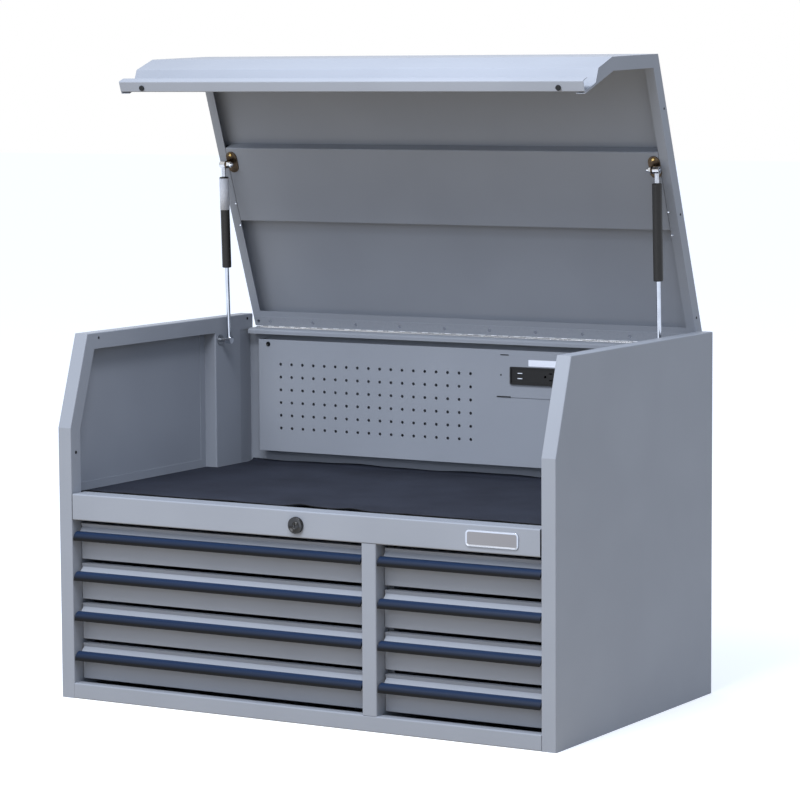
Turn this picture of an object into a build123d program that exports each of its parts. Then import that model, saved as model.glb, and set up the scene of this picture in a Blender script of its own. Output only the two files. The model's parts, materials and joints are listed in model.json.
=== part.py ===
from build123d import *
import os
from math import atan2, degrees, hypot

os.makedirs("parts", exist_ok=True)

# Overall sizes in millimetres. X points right, the front faces -Y, Z points up
# and the origin is the middle of the underside.
width = 1041.0
depth = 616.0
height = 676.0
slope_foot = 505.0  # height at which the front starts to lean back
slope_run = 57.0  # how far the slope leans back

# Sheet steel and the gaps between pieces
sheet = 1.2
bend = 2.0  # radius of a fold
seam = 0.2  # between pieces that are welded or bolted together
running_gap = 0.3  # between pieces that move past each other
fit_gap = 0.05  # radial, between a pin and its bore

# Side panels, base and the strut channels inside the compartment
post_width = 28.3
return_depth = 30.0
base_rail_height = 29.0
base_rail_hem = 20.0
strut_channel_front = depth / 2 - 133.0
strut_channel_fold = depth / 2 - 46.0  # where the channel starts to lean to the skin
strut_channel_lean = 5.0
strut_channel_flange = 17.0  # flange along the skin, in front of the channel
slide_post_width = 40.0
rear_slide_post = depth / 2 - 123.0  # front edge of the rear pair of slide posts

# Front beam and compartment tray
beam_bottom = 335.0
beam_top = 383.5
beam_end_gap = 2.2
beam_shelf = 42.0
tray_top = 379.0
tray_edge = 16.5
mat_thickness = 2.5
mat_front = -depth / 2 + 46.0
mat_curl_start = depth / 2 - 24.0
mat_curl_rise = 9.0

# Centre divider and drawers
divider_left = width / 2 - 386.5  # the right bank's drawers are a standard width
divider_width = 29.7
row_count = 4
row_pitch = 75.0
first_front = 33.5  # height of the lowest fronts' bottom edges
front_height = 68.0
front_end_gap = 1.3
front_recess = 29.0  # how far the lower face lies behind the posts
front_hem = 8.0
lip_drop = 6.5  # from the top edge down to where the lip slopes forward
lip_undercut = 3.0  # how far the lip's wall leans back on its way down
lip_setback = 21.0  # from the posts' front to the lip's upper bend
top_flange = 18.0
strip_end_inset = 5.0
pull_start = 14.5  # how far behind the posts' front the pull trim starts
pull_edge = 1.7
pull_end_inset = 1.0
pan_sheet = 1.0
pan_lift = 4.0
pan_height = 58.0
pan_hem = 5.0
pan_back = depth / 2 - 80.0

# Ball bearing slides: three nested channels, measured from the wall they hang on
slide_thickness = 12.7
slide_length = 508.0
slide_sheet = 1.2
slide_centre = 33.0  # height of a slide's middle above its drawer's bottom edge
fixed_half_height = 22.0
fixed_reach = 9.0
middle_start = 1.6
middle_reach = 11.0
inner_start = 3.1
slide_travel = 500.0

# Lock: barrel in the beam, cam pin, and the bar that the pin lowers
lock_height = beam_bottom + 23.0
lock_face_radius = 15.0
lock_face_proud = 4.0
lock_body_radius = 9.5
lock_body_length = 22.0
barrel_radius = 6.0
key_slot_width = 1.6
key_slot_length = 8.0
cam_thickness = 1.6
cam_arm = 10.0
cam_pin_radius = 2.0
cam_pin_length = 10.0
bar_front = -depth / 2 + 44.0
bar_thickness = 1.6
bar_width = 10.0
bar_arm_height = 18.0
flag_height = 6.0
flag_lift = 66.0  # a flag's lower edge above its drawer's bottom edge, unlocked
tab_length = 8.0
tab_height = 10.0

# Perforated tool panel and power strip
board_stand = 30.0
board_half = width / 2 - 60.5
board_bottom = 406.0
board_top = 628.0
hole_pitch = 25.4
hole_radius = 3.0
hole_rows = 6
first_hole_x = 52.9 - board_half
first_hole_z = 452.4
plate_left = board_half - 379.5
hole_columns = 1 + int((plate_left - 55.0 - first_hole_x) / hole_pitch)
plate_bottom = 538.0
plate_height = 82.0
plate_margin = 29.5
unit_width = 200.0
unit_shift = 3.0  # how far the unit sits right of its plate's middle
unit_bottom = 563.3
unit_height = 33.6
unit_proud = 4.0
unit_body_depth = 24.0
unit_flange = 3.0
usb_width = 11.0
usb_height = 2.5
usb_left_inset = 22.0
outlet_count = 3
outlet_pitch = 45.0
outlet_first_inset = 75.5  # from the unit's left edge to the first earth hole
outlet_depth = 12.0

# Back rail and piano hinge
back_rail_half = width / 2 - 35.5
back_rail_depth = 28.0
back_rail_top = 648.0
back_rail_lip = 10.0
hinge_half = width / 2 - 34.5
knuckle_radius = 3.0
knuckle_pitch = 12.7
hinge_pin_radius = 1.5
leaf_width = 20.0
leaf_thickness = 0.9
lid_screw_radius = 3.5
lid_screw_count = 10
lid_end_screw_x = hinge_half - 8.5
lid_screw_pitch = (lid_end_screw_x - 27.5) * 2 / (lid_screw_count - 1)

# Lid, drawn shut and turned open about the hinge
open_angle = 70.0
lid_gap = 4.5
lid_slope_rim = 24.0
lid_side_flange = 17.7
lid_back_flange = 31.6
groove_top = 449.5
groove_bend = 431.0
groove_depth = 21.0
lid_lip_bottom = 387.0
lid_lip_top = 403.0
stiffener_front = depth / 2 - 380.0
stiffener_back = depth / 2 - 226.0
stiffener_half = width / 2 - 51.5
bumper_x = width / 2 - 82.5
bumper_radius = 5.0
bumper_setback = 13.0

# Gas struts
strut_x = width / 2 - 50.5
strut_low_y = depth / 2 - 118.0
strut_low_z = 632.0
strut_shut_y = depth / 2 - 351.7  # the upper pivot with the lid shut
strut_shut_z = 634.0
strut_radius = 9.0
strut_wall = 1.0
strut_tube_length = 178.0
strut_tube_drop = 24.0  # from the upper pivot down to the tube
strut_gland = 12.0
rod_radius = 4.0
piston_length = 8.0
neck_radius = 4.25
eye_radius = 7.0
eye_width = 12.0
stud_radius = 4.0
stud_flange_radius = 10.0
bracket_plate = 2.0
bracket_width = 30.0
bracket_length = 40.0
bracket_nut_length = 11.0

# Places worked out from the sizes above
half_sheet = sheet / 2
front_y = -depth / 2
back_y = depth / 2
skin_x = width / 2
opening_half = skin_x - post_width
wall_half = opening_half + sheet  # the slides' walls at the two sides
inner_skin = skin_x - sheet
slope_grade = (height - slope_foot) / slope_run
divider_right = divider_left + divider_width
divider_middle = (divider_left + divider_right) / 2
tray_bottom = tray_top - sheet
strut_channel_foot = tray_top + seam
channel_face = opening_half  # level with the flange above it
channel_back_y = back_y - sheet - seam
post_back = front_y + return_depth
face_y = front_y + front_recess
board_y = back_y - board_stand
hinge_y = back_y + knuckle_radius + running_gap
hinge_z = back_rail_top
lid_half = opening_half - lid_gap
leaf_gap = leaf_thickness + running_gap  # between the shut hinge leaves' lower faces
lid_leaf_bottom = hinge_z + leaf_gap
lid_flange_bottom = lid_leaf_bottom + leaf_thickness
slide_front = post_back + 0.5
row_bases = [first_front + row_pitch * row for row in range(row_count)]

lid_opening = Location((0, hinge_y, hinge_z), (-open_angle, 0, 0)) * Location((0, -hinge_y, -hinge_z))


def opened(plane):
    """A plane of the shut lid, turned with the lid to where it stands open."""
    return Plane(lid_opening * plane.location)


def slope_z(y, inset):
    """Height on the slope at y, with the slope moved in by inset."""
    return slope_foot + slope_grade * (y - front_y) - inset * hypot(1, slope_grade)


def slope_y(z, inset):
    """Depth on the slope at height z, with the slope moved in by inset."""
    return front_y + (z - slope_foot + inset * hypot(1, slope_grade)) / slope_grade


def side_outline(inset, back, bottom):
    """Corners of the chest seen from its side, moved in along front, slope and top."""
    front = front_y + inset
    top = height - inset
    return [
        (back, bottom),
        (back, top),
        (slope_y(top, inset), top),
        (front, slope_z(front, inset)),
        (front, bottom),
    ]


# Side panels: a skin folded round the front, slope and top, with a return flange,
# two slide posts below the tray and the channel that carries a gas strut
with BuildPart() as side_panel_right:
    with BuildSketch(Plane.YZ.offset(opening_half)):
        with BuildLine():
            Polyline(*side_outline(0, back_y, 0), close=True)
        make_face()
    extrude(amount=post_width)
    folds = side_panel_right.edges().filter_by(
        lambda edge: edge.center().Y < back_y - 1 and edge.center().Z > 1
    )
    fillet(folds.group_by(Axis.X)[0] + folds.group_by(Axis.X)[-1], radius=bend)
    with BuildSketch(Plane.YZ.offset(wall_half)):
        with BuildLine():
            Polyline(*side_outline(sheet, back_y + 1, -1), close=True)
        make_face()
    extrude(amount=inner_skin - wall_half, mode=Mode.SUBTRACT)
    with BuildSketch(Plane.YZ.offset(opening_half)):
        with BuildLine():
            Polyline(*side_outline(return_depth, back_y + 1, -1), close=True)
        make_face()
    extrude(amount=sheet, mode=Mode.SUBTRACT)
    with BuildSketch(Plane.XY.offset(sheet)):
        for start in (slide_front, rear_slide_post):
            with BuildLine():
                Polyline(
                    (inner_skin, start + half_sheet),
                    (wall_half + half_sheet, start + half_sheet),
                    (wall_half + half_sheet, start + slide_post_width - half_sheet),
                    (inner_skin, start + slide_post_width - half_sheet),
                )
            trace(line_width=sheet)
    extrude(amount=tray_bottom - sheet)
    with BuildSketch(Plane.XY.offset(strut_channel_foot)):
        with BuildLine():
            FilletPolyline(
                (inner_skin, strut_channel_front),
                (channel_face + half_sheet, strut_channel_front),
                (channel_face + half_sheet, strut_channel_fold),
                (channel_face + half_sheet + strut_channel_lean, channel_back_y),
                radius=(bend, 6 * bend),
            )
        trace(line_width=sheet)
        with Locations((inner_skin - half_sheet, strut_channel_front - strut_channel_flange / 2)):
            Rectangle(sheet, strut_channel_flange)
    extrude(amount=height - return_depth - strut_channel_foot)
side_panel_right.part.label = "side_panel_right"
export_step(side_panel_right.part, "parts/side_panel_right.step")

with BuildPart() as side_panel_left:
    mirror(side_panel_right.part, about=Plane.YZ)
side_panel_left.part.label = "side_panel_left"
export_step(side_panel_left.part, "parts/side_panel_left.step")

# Base: floor and bottom rail in one sheet, wider behind the posts
with BuildPart() as base_panel:
    with BuildSketch(Plane.YZ.offset(-opening_half + seam)):
        with BuildLine():
            FilletPolyline(
                (front_y + base_rail_hem, base_rail_height - half_sheet),
                (front_y + half_sheet, base_rail_height - half_sheet),
                (front_y + half_sheet, half_sheet),
                (back_y - sheet - seam, half_sheet),
                radius=bend,
            )
        trace(line_width=sheet)
    extrude(amount=2 * (opening_half - seam))
    with BuildSketch(Plane.XY):
        with Locations((0, (post_back + seam + back_y - sheet - seam) / 2)):
            Rectangle(2 * (inner_skin - seam), back_y - sheet - seam - post_back - seam)
    extrude(amount=sheet)
base_panel.part.label = "base_panel"
export_step(base_panel.part, "parts/base_panel.step")

# Back panel with the rounded rail along its top and an ear in each side panel's fold
ear_top = height - sheet - seam
ear_bottom = back_rail_top - 2 * back_rail_lip
with BuildPart() as back_panel:
    with BuildSketch(Plane.XZ.offset(-back_y)):
        with Locations((0, (back_rail_top - back_rail_lip) / 2)):
            Rectangle(2 * (inner_skin - seam), back_rail_top - back_rail_lip)
        for side in (-1, 1):
            with Locations((side * (wall_half + inner_skin) / 2, (ear_top + ear_bottom) / 2)):
                Rectangle(inner_skin - wall_half - 2 * seam, ear_top - ear_bottom)
    extrude(amount=sheet)
    with BuildSketch(Plane.YZ.offset(-back_rail_half)):
        with BuildLine():
            FilletPolyline(
                (back_y - back_rail_depth + half_sheet, back_rail_top - back_rail_lip),
                (back_y - back_rail_depth + half_sheet, back_rail_top - half_sheet),
                (back_y - half_sheet, back_rail_top - half_sheet),
                (back_y - half_sheet, ear_bottom),
                radius=(2 * bend, bend),
            )
        trace(line_width=sheet)
    extrude(amount=2 * back_rail_half)
back_panel.part.label = "back_panel"
export_step(back_panel.part, "parts/back_panel.step")

# Front beam under the compartment; its shelf's back lip stands on the tray
with BuildPart() as front_beam:
    with BuildSketch(Plane.YZ.offset(-opening_half + beam_end_gap)):
        with BuildLine():
            FilletPolyline(
                (front_y + base_rail_hem, beam_bottom + half_sheet),
                (front_y + half_sheet, beam_bottom + half_sheet),
                (front_y + half_sheet, beam_top - half_sheet),
                (front_y + beam_shelf - half_sheet, beam_top - half_sheet),
                (front_y + beam_shelf - half_sheet, tray_top),
                radius=bend,
            )
        trace(line_width=sheet)
    extrude(amount=2 * (opening_half - beam_end_gap))
    with BuildSketch(Plane.XZ.offset(-front_y - 2 * sheet)):
        with Locations((0, lock_height)):
            Circle(lock_body_radius + fit_gap)
    extrude(amount=3 * sheet, mode=Mode.SUBTRACT)
front_beam.part.label = "front_beam"
export_step(front_beam.part, "parts/front_beam.step")

# Centre divider: front post, and two walls that the slides hang on, with slots
# for the lock bar's flags and arm
divider_walls = (divider_left + sheet, divider_right - sheet)
flag_middles = [base + flag_lift + flag_height / 2 - cam_arm / 2 for base in row_bases]
with BuildPart() as centre_divider:
    with BuildSketch(Plane.XY.offset(base_rail_height)):
        with BuildLine():
            FilletPolyline(
                (divider_left + half_sheet, post_back),
                (divider_left + half_sheet, front_y + half_sheet),
                (divider_right - half_sheet, front_y + half_sheet),
                (divider_right - half_sheet, post_back),
                radius=bend,
            )
        trace(line_width=sheet)
    extrude(amount=beam_bottom - base_rail_height)
    with BuildSketch(Plane.XY.offset(base_rail_height)):
        for wall in (divider_walls[0] + half_sheet, divider_walls[1] - half_sheet):
            with Locations((wall, (post_back - front_hem + back_y - sheet - seam) / 2)):
                Rectangle(sheet, back_y - sheet - seam - post_back + front_hem)
        with Locations((divider_middle, back_y - sheet - seam - half_sheet)):
            Rectangle(divider_walls[1] - divider_walls[0], sheet)
    extrude(amount=tray_bottom - base_rail_height)
    with BuildSketch(Plane.XY.offset(sheet)):
        for wall in (divider_walls[0] + half_sheet, divider_walls[1] - half_sheet):
            with Locations((wall, (post_back + back_y - sheet - seam) / 2)):
                Rectangle(sheet, back_y - sheet - seam - post_back)
    extrude(amount=base_rail_height - sheet)
    with BuildSketch(Plane.YZ.offset(divider_left - sheet)):
        for middle in flag_middles:
            with Locations((bar_front + bar_thickness / 2, middle)):
                Rectangle(bar_thickness + 2 * sheet, flag_height + cam_arm + 2 * sheet)
    extrude(amount=divider_width + 2 * sheet, mode=Mode.SUBTRACT)
    with BuildSketch(Plane.YZ.offset(divider_left - sheet)):
        with Locations((bar_front + bar_thickness / 2, lock_height - cam_arm / 2)):
            Rectangle(bar_thickness + 2 * sheet, bar_arm_height + cam_arm + 2 * sheet)
    extrude(amount=4 * sheet, mode=Mode.SUBTRACT)
centre_divider.part.label = "centre_divider"
export_step(centre_divider.part, "parts/centre_divider.step")

# Compartment tray: floor with upturned sides and back, cut short at the strut channels
upturn_end = strut_channel_front - strut_channel_flange - running_gap
with BuildPart() as compartment_floor:
    with BuildSketch(Plane.XY.offset(tray_bottom)):
        with Locations((0, (post_back + seam + back_y - sheet - seam) / 2)):
            Rectangle(2 * (inner_skin - seam), back_y - sheet - post_back - 2 * seam)
        with Locations((0, (front_y + back_rail_depth / 2 + post_back) / 2)):
            Rectangle(2 * (opening_half - seam), post_back - front_y - back_rail_depth / 2 + 2)
    extrude(amount=sheet)
    with BuildSketch(Plane.XY.offset(tray_top)):
        for side in (-1, 1):
            with Locations((side * (inner_skin - seam - half_sheet), (post_back + seam + upturn_end) / 2)):
                Rectangle(sheet, upturn_end - post_back - seam)
        with Locations((0, back_y - sheet - seam - half_sheet)):
            Rectangle(2 * (channel_face - sheet), sheet)
    extrude(amount=tray_edge)
compartment_floor.part.label = "compartment_floor"
export_step(compartment_floor.part, "parts/compartment_floor.step")

# Non-slip mat, its back edge curled up against the back wall and its back corners
# cut out round the strut channels
mat_half = inner_skin - 3 * sheet
notch_half = channel_face - 2 * sheet
notch_front = strut_channel_front - 2 * sheet
with BuildPart() as compartment_mat:
    with BuildSketch(Plane.YZ.offset(-mat_half)):
        with BuildLine():
            FilletPolyline(
                (mat_front, tray_top + mat_thickness / 2),
                (mat_curl_start, tray_top + mat_thickness / 2),
                (back_y - 4 * sheet, tray_top + mat_thickness / 2 + mat_curl_rise),
                radius=3 * bend,
            )
        trace(line_width=mat_thickness)
    extrude(amount=2 * mat_half)
    with BuildSketch(Plane.XY.offset(tray_bottom)):
        for side in (-1, 1):
            with Locations((side * (notch_half + mat_half) / 2, (notch_front + back_y) / 2)):
                Rectangle(mat_half - notch_half + sheet, back_y - notch_front)
    extrude(amount=2 * tray_edge, mode=Mode.SUBTRACT)
compartment_mat.part.label = "compartment_mat"
export_step(compartment_mat.part, "parts/compartment_mat.step")

# Perforated tool panel, a tray folded back against the back wall
plate_width = unit_width + 2 * plate_margin
unit_left = plate_left + plate_margin + unit_shift
unit_middle = (unit_left + unit_width / 2, unit_bottom + unit_height / 2)
body_width = unit_width - 2 * unit_flange
body_height = unit_height - 2 * unit_flange
with BuildPart() as pegboard_panel:
    with BuildSketch(Plane.XY.offset(board_bottom)):
        with BuildLine():
            FilletPolyline(
                (-board_half + half_sheet, back_y - sheet - seam),
                (-board_half + half_sheet, board_y + half_sheet),
                (board_half - half_sheet, board_y + half_sheet),
                (board_half - half_sheet, back_y - sheet - seam),
                radius=bend,
            )
        trace(line_width=sheet)
    extrude(amount=board_top - board_bottom)
    with BuildSketch(Plane.XZ.offset(-board_y - 2 * sheet)):
        for column in range(hole_columns):
            for row in range(hole_rows):
                with Locations((first_hole_x + hole_pitch * column, first_hole_z + hole_pitch * row)):
                    Circle(hole_radius)
        with Locations(unit_middle):
            Rectangle(body_width + 2 * seam, body_height + 2 * seam)
    extrude(amount=3 * sheet, mode=Mode.SUBTRACT)
pegboard_panel.part.label = "pegboard_panel"
export_step(pegboard_panel.part, "parts/pegboard_panel.step")

# Power strip: its plate on the panel, and the unit that passes through both
with BuildPart() as power_plate:
    with BuildSketch(Plane.XZ.offset(-board_y)):
        with Locations((unit_middle[0] - unit_shift, plate_bottom + plate_height / 2)):
            RectangleRounded(plate_width, plate_height, 2 * bend)
        with Locations(unit_middle):
            Rectangle(body_width + 2 * seam, body_height + 2 * seam, mode=Mode.SUBTRACT)
    extrude(amount=sheet)
power_plate.part.label = "power_plate"
export_step(power_plate.part, "parts/power_plate.step")

unit_face_y = board_y - sheet - unit_proud
with BuildPart() as power_unit:
    with BuildSketch(Plane.XZ.offset(-board_y + sheet)):
        with Locations(unit_middle):
            RectangleRounded(unit_width, unit_height, bend)
    extrude(amount=unit_proud)
    with BuildSketch(Plane.XZ.offset(-board_y + sheet)):
        with Locations(unit_middle):
            Rectangle(body_width, body_height)
    extrude(amount=-unit_body_depth)
    with BuildSketch(Plane.XZ.offset(-unit_face_y)):
        with Locations(unit_middle):
            Rectangle(body_width, body_height)
    extrude(amount=-bend, mode=Mode.SUBTRACT)
    with BuildSketch(Plane.XZ.offset(-unit_face_y)):
        for offset_z in (-2 * usb_height, 2 * usb_height):
            with Locations((unit_left + usb_left_inset, unit_middle[1] + offset_z)):
                Rectangle(usb_width, usb_height)
        for outlet in range(outlet_count):
            earth_x = unit_left + outlet_first_inset + outlet_pitch * outlet
            with Locations((earth_x, unit_middle[1])):
                Circle(2.5)
            with Locations((earth_x + 11.9, unit_middle[1] - 6.35), (earth_x + 11.9, unit_middle[1] + 6.35)):
                Rectangle(7.0, 2.0)
    extrude(amount=-outlet_depth, mode=Mode.SUBTRACT)
power_unit.part.label = "power_unit"
export_step(power_unit.part, "parts/power_unit.step")

# Drawers: pan and front in one, the pull trim, and the slides' moving members


def channel(wall, direction, base, start, reach, half_height, open_away=False):
    """Middle line of a slide channel's section: its web is at start, or at reach if open_away."""
    web_side = reach - slide_sheet / 2 if open_away else start + slide_sheet / 2
    web = wall + direction * web_side
    tip = wall + direction * (start if open_away else reach)
    middle = base + slide_centre
    edge = half_height - slide_sheet / 2
    return [(tip, middle + edge), (web, middle + edge), (web, middle - edge), (tip, middle - edge)]


def drawer(name, base, left_wall, right_wall, left_end, right_end, tab_side):
    """Write the nodes of one drawer that hangs between two walls."""
    box_left = left_wall + slide_thickness
    box_right = right_wall - slide_thickness
    top = base + front_height
    lip_z = top - lip_drop
    lip_y = front_y + lip_setback
    lip_wall = lip_y + half_sheet
    lip_end = lip_y - lip_setback + 2 * half_sheet
    with BuildPart() as body:
        with BuildSketch(Plane.YZ.offset(left_end)):
            with BuildLine():
                FilletPolyline(
                    (face_y + front_hem, base + half_sheet),
                    (face_y + half_sheet, base + half_sheet),
                    (face_y + half_sheet, top - half_sheet),
                    radius=bend / 2,
                )
            trace(line_width=sheet)
        extrude(amount=right_end - left_end)
        with BuildSketch(Plane.YZ.offset(left_end + strip_end_inset)):
            with BuildLine():
                Polyline(
                    (lip_y + top_flange, top - half_sheet),
                    (lip_wall, top - half_sheet),
                    (lip_wall + lip_undercut, lip_z),
                    (lip_end, lip_z - (lip_wall + lip_undercut - lip_end)),
                )
            trace(line_width=sheet)
        extrude(amount=right_end - left_end - 2 * strip_end_inset)
        with BuildSketch(Plane.XZ.offset(-face_y - sheet)):
            with BuildLine():
                FilletPolyline(
                    (box_left + pan_hem, base + pan_lift + pan_height - pan_sheet / 2),
                    (box_left + pan_sheet / 2, base + pan_lift + pan_height - pan_sheet / 2),
                    (box_left + pan_sheet / 2, base + pan_lift + pan_sheet / 2),
                    (box_right - pan_sheet / 2, base + pan_lift + pan_sheet / 2),
                    (box_right - pan_sheet / 2, base + pan_lift + pan_height - pan_sheet / 2),
                    (box_right - pan_hem, base + pan_lift + pan_height - pan_sheet / 2),
                    radius=bend,
                )
            trace(line_width=pan_sheet)
        extrude(amount=-(pan_back - face_y - sheet))
        with BuildSketch(Plane.XZ.offset(-pan_back)):
            with Locations(((box_left + box_right) / 2, base + pan_lift + pan_height / 2)):
                RectangleRounded(box_right - box_left, pan_height, bend)
        extrude(amount=pan_sheet)
    body.part.label = name
    export_step(body.part, f"parts/{name}.step")

    # the pull trim is a rounded bar on the lip's sloping face, where z - y is slope_sum
    slope_sum = lip_z - lip_wall - lip_undercut + half_sheet * hypot(1, 1)
    start_y = front_y + pull_start
    with BuildPart() as pull:
        with BuildSketch(Plane.YZ.offset(left_end + pull_end_inset)):
            with BuildLine():
                high = Line((start_y, start_y + slope_sum), (start_y, start_y + slope_sum + pull_edge))
                ThreePointArc(
                    high @ 1,
                    (start_y - pull_start * 0.7071, front_y + slope_sum + pull_edge + pull_start * 0.7071),
                    (front_y, front_y + slope_sum + pull_edge),
                )
                Line((front_y, front_y + slope_sum + pull_edge), (front_y, front_y + slope_sum))
                Line((front_y, front_y + slope_sum), high @ 0)
            make_face()
        extrude(amount=right_end - left_end - 2 * pull_end_inset)
    pull.part.label = f"{name}_pull"
    export_step(pull.part, f"parts/{name}_pull.step")

    # nested channels on both sides; the member beside the divider has a lock tab
    middle_half_height = fixed_half_height - slide_sheet - running_gap
    inner_half_height = middle_half_height - slide_sheet - running_gap
    walls = ((left_wall, 1), (right_wall, -1))
    with BuildPart() as middle_members:
        with BuildSketch(Plane.XZ.offset(-slide_front)):
            for wall, side in walls:
                with BuildLine():
                    Polyline(*channel(wall, side, base, middle_start, middle_reach, middle_half_height))
                trace(line_width=slide_sheet)
        extrude(amount=-slide_length)
    middle_members.part.label = f"{name}_slide_middles"
    export_step(middle_members.part, f"parts/{name}_slide_middles.step")

    tab_x = box_right if tab_side > 0 else box_left - slide_sheet
    tab_front = bar_front + bar_thickness + 2 * running_gap
    tab_foot = base + slide_centre + inner_half_height
    with BuildPart() as inner_members:
        with BuildSketch(Plane.XZ.offset(-slide_front)):
            for wall, side in walls:
                with BuildLine():
                    Polyline(*channel(wall, side, base, inner_start, slide_thickness, inner_half_height, True))
                trace(line_width=slide_sheet)
        extrude(amount=-slide_length)
        with BuildSketch(Plane.YZ.offset(tab_x)):
            with Locations((tab_front + tab_length / 2, tab_foot + (tab_height - slide_sheet) / 2)):
                Rectangle(tab_length, tab_height + slide_sheet)
        extrude(amount=slide_sheet)
    inner_members.part.label = f"{name}_slide_inners"
    export_step(inner_members.part, f"parts/{name}_slide_inners.step")


left_bay = (-wall_half, divider_walls[0], -opening_half + front_end_gap, divider_left - front_end_gap, 1)
right_bay = (divider_walls[1], wall_half, divider_right + front_end_gap, opening_half - front_end_gap, -1)
for row, base in enumerate(row_bases):
    drawer(f"drawer_left_{row_count - row}", base, *left_bay)
    drawer(f"drawer_right_{row_count - row}", base, *right_bay)

with BuildPart() as slide_fixed_members:
    with BuildSketch(Plane.XZ.offset(-slide_front)):
        for base in row_bases:
            for bay in (left_bay, right_bay):
                for wall, side in ((bay[0], 1), (bay[1], -1)):
                    with BuildLine():
                        Polyline(*channel(wall, side, base, 0, fixed_reach, fixed_half_height))
                    trace(line_width=slide_sheet)
    extrude(amount=-slide_length)
slide_fixed_members.part.label = "slide_fixed_members"
export_step(slide_fixed_members.part, "parts/slide_fixed_members.step")

# Lock: housing in the beam, barrel with cam and pin, and the bar that the pin moves
with BuildPart() as lock_housing:
    with BuildSketch(Plane.XZ.offset(-front_y)):
        with Locations((0, lock_height)):
            Circle(lock_face_radius)
    extrude(amount=lock_face_proud)
    fillet(lock_housing.faces().sort_by(Axis.Y)[0].edges(), radius=bend)
    with BuildSketch(Plane.XZ.offset(-front_y)):
        with Locations((0, lock_height)):
            Circle(lock_body_radius)
    extrude(amount=-lock_body_length)
    with BuildSketch(Plane.XZ.offset(-front_y + lock_face_proud)):
        with Locations((0, lock_height)):
            Circle(barrel_radius + fit_gap)
    extrude(amount=-(lock_body_length + lock_face_proud), mode=Mode.SUBTRACT)
lock_housing.part.label = "lock_housing"
export_step(lock_housing.part, "parts/lock_housing.step")

cam_front = front_y + lock_body_length + running_gap
with BuildPart() as lock_barrel:
    with BuildSketch(Plane.XZ.offset(-front_y + lock_face_proud)):
        with Locations((0, lock_height)):
            Circle(barrel_radius)
    extrude(amount=-(lock_face_proud + lock_body_length + running_gap))
    with BuildSketch(Plane.XZ.offset(-front_y + lock_face_proud)):
        with Locations((0, lock_height)):
            Rectangle(key_slot_width, key_slot_length)
    extrude(amount=-lock_body_length / 2, mode=Mode.SUBTRACT)
    with BuildSketch(Plane.XZ.offset(-cam_front)):
        with Locations((cam_arm / 2, lock_height)):
            SlotCenterToCenter(cam_arm, 2 * barrel_radius)
    extrude(amount=-cam_thickness)
    with BuildSketch(Plane.XZ.offset(-cam_front - cam_thickness)):
        with Locations((cam_arm, lock_height)):
            Circle(cam_pin_radius)
    extrude(amount=-(bar_front + bar_thickness + 2 - cam_front - cam_thickness))
lock_barrel.part.label = "lock_barrel"
export_step(lock_barrel.part, "parts/lock_barrel.step")

pin_slot_play = cam_arm / 4  # below the pin, which runs ahead of the bar in mid turn
pin_slot_height = 2 * cam_pin_radius + running_gap + pin_slot_play
flag_span = divider_walls[1] - divider_walls[0] + 2 * (slide_thickness - running_gap)
arm_start = -cam_arm - cam_pin_radius
with BuildPart() as lock_bar:
    with BuildSketch(Plane.XZ.offset(-bar_front)):
        with Locations(((arm_start + divider_middle) / 2, lock_height)):
            Rectangle(divider_middle - arm_start, bar_arm_height)
        bar_foot = row_bases[0] + flag_lift
        with Locations((divider_middle, (bar_foot + lock_height + bar_arm_height / 2) / 2)):
            Rectangle(bar_width, lock_height + bar_arm_height / 2 - bar_foot)
        for base in row_bases:
            with Locations((divider_middle, base + flag_lift + flag_height / 2)):
                Rectangle(flag_span, flag_height)
        with Locations((cam_arm / 2, lock_height + (running_gap - pin_slot_play) / 2)):
            Rectangle(cam_arm + 3 * cam_pin_radius, pin_slot_height, mode=Mode.SUBTRACT)
    extrude(amount=-bar_thickness)
lock_bar.part.label = "lock_bar"
export_step(lock_bar.part, "parts/lock_bar.step")

# Piano hinge: knuckles taken in turn by the lower and the upper leaf, on one pin
knuckle_count = int(2 * hinge_half / knuckle_pitch)
knuckle_start = -knuckle_count * knuckle_pitch / 2
leaf_edge = hinge_y - knuckle_radius - running_gap
screw_y = leaf_edge - leaf_width / 2
screw_row = [lid_screw_pitch * (step - (lid_screw_count - 1) / 2) for step in range(lid_screw_count)]
screw_places = [-lid_end_screw_x, *screw_row, lid_end_screw_x]


def hinge_leaf(place, leaf_bottom, first, screw_xs):
    """Make one leaf with every second knuckle, drawn shut on a plane given by place."""
    with BuildPart() as leaf:
        with BuildSketch(place(Plane.YZ.offset(-hinge_half))):
            with Locations((leaf_edge - leaf_width / 2, leaf_bottom + leaf_thickness / 2)):
                Rectangle(leaf_width, leaf_thickness)
        extrude(amount=2 * hinge_half)
        for knuckle in range(first, knuckle_count, 2):
            start = knuckle_start + knuckle * knuckle_pitch + running_gap / 2
            with BuildSketch(place(Plane.YZ.offset(start))):
                with Locations((hinge_y, hinge_z)):
                    Circle(knuckle_radius)
                with Locations((leaf_edge + 1, leaf_bottom + leaf_thickness / 2)):
                    Rectangle(3, leaf_thickness)
                with Locations((hinge_y, hinge_z)):
                    Circle(hinge_pin_radius + fit_gap, mode=Mode.SUBTRACT)
            extrude(amount=knuckle_pitch - running_gap)
        for x in screw_xs:
            with BuildSketch(place(Plane.XY.offset(leaf_bottom))):
                with Locations((x, screw_y)):
                    Circle(lid_screw_radius + fit_gap)
            extrude(amount=leaf_thickness, mode=Mode.SUBTRACT)
    return leaf


def in_place(plane):
    """A plane of a piece that stays with the chest."""
    return plane


hinge_lower_leaf = hinge_leaf(in_place, hinge_z, 0, ())
hinge_lower_leaf.part.label = "hinge_lower_leaf"
export_step(hinge_lower_leaf.part, "parts/hinge_lower_leaf.step")

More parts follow.
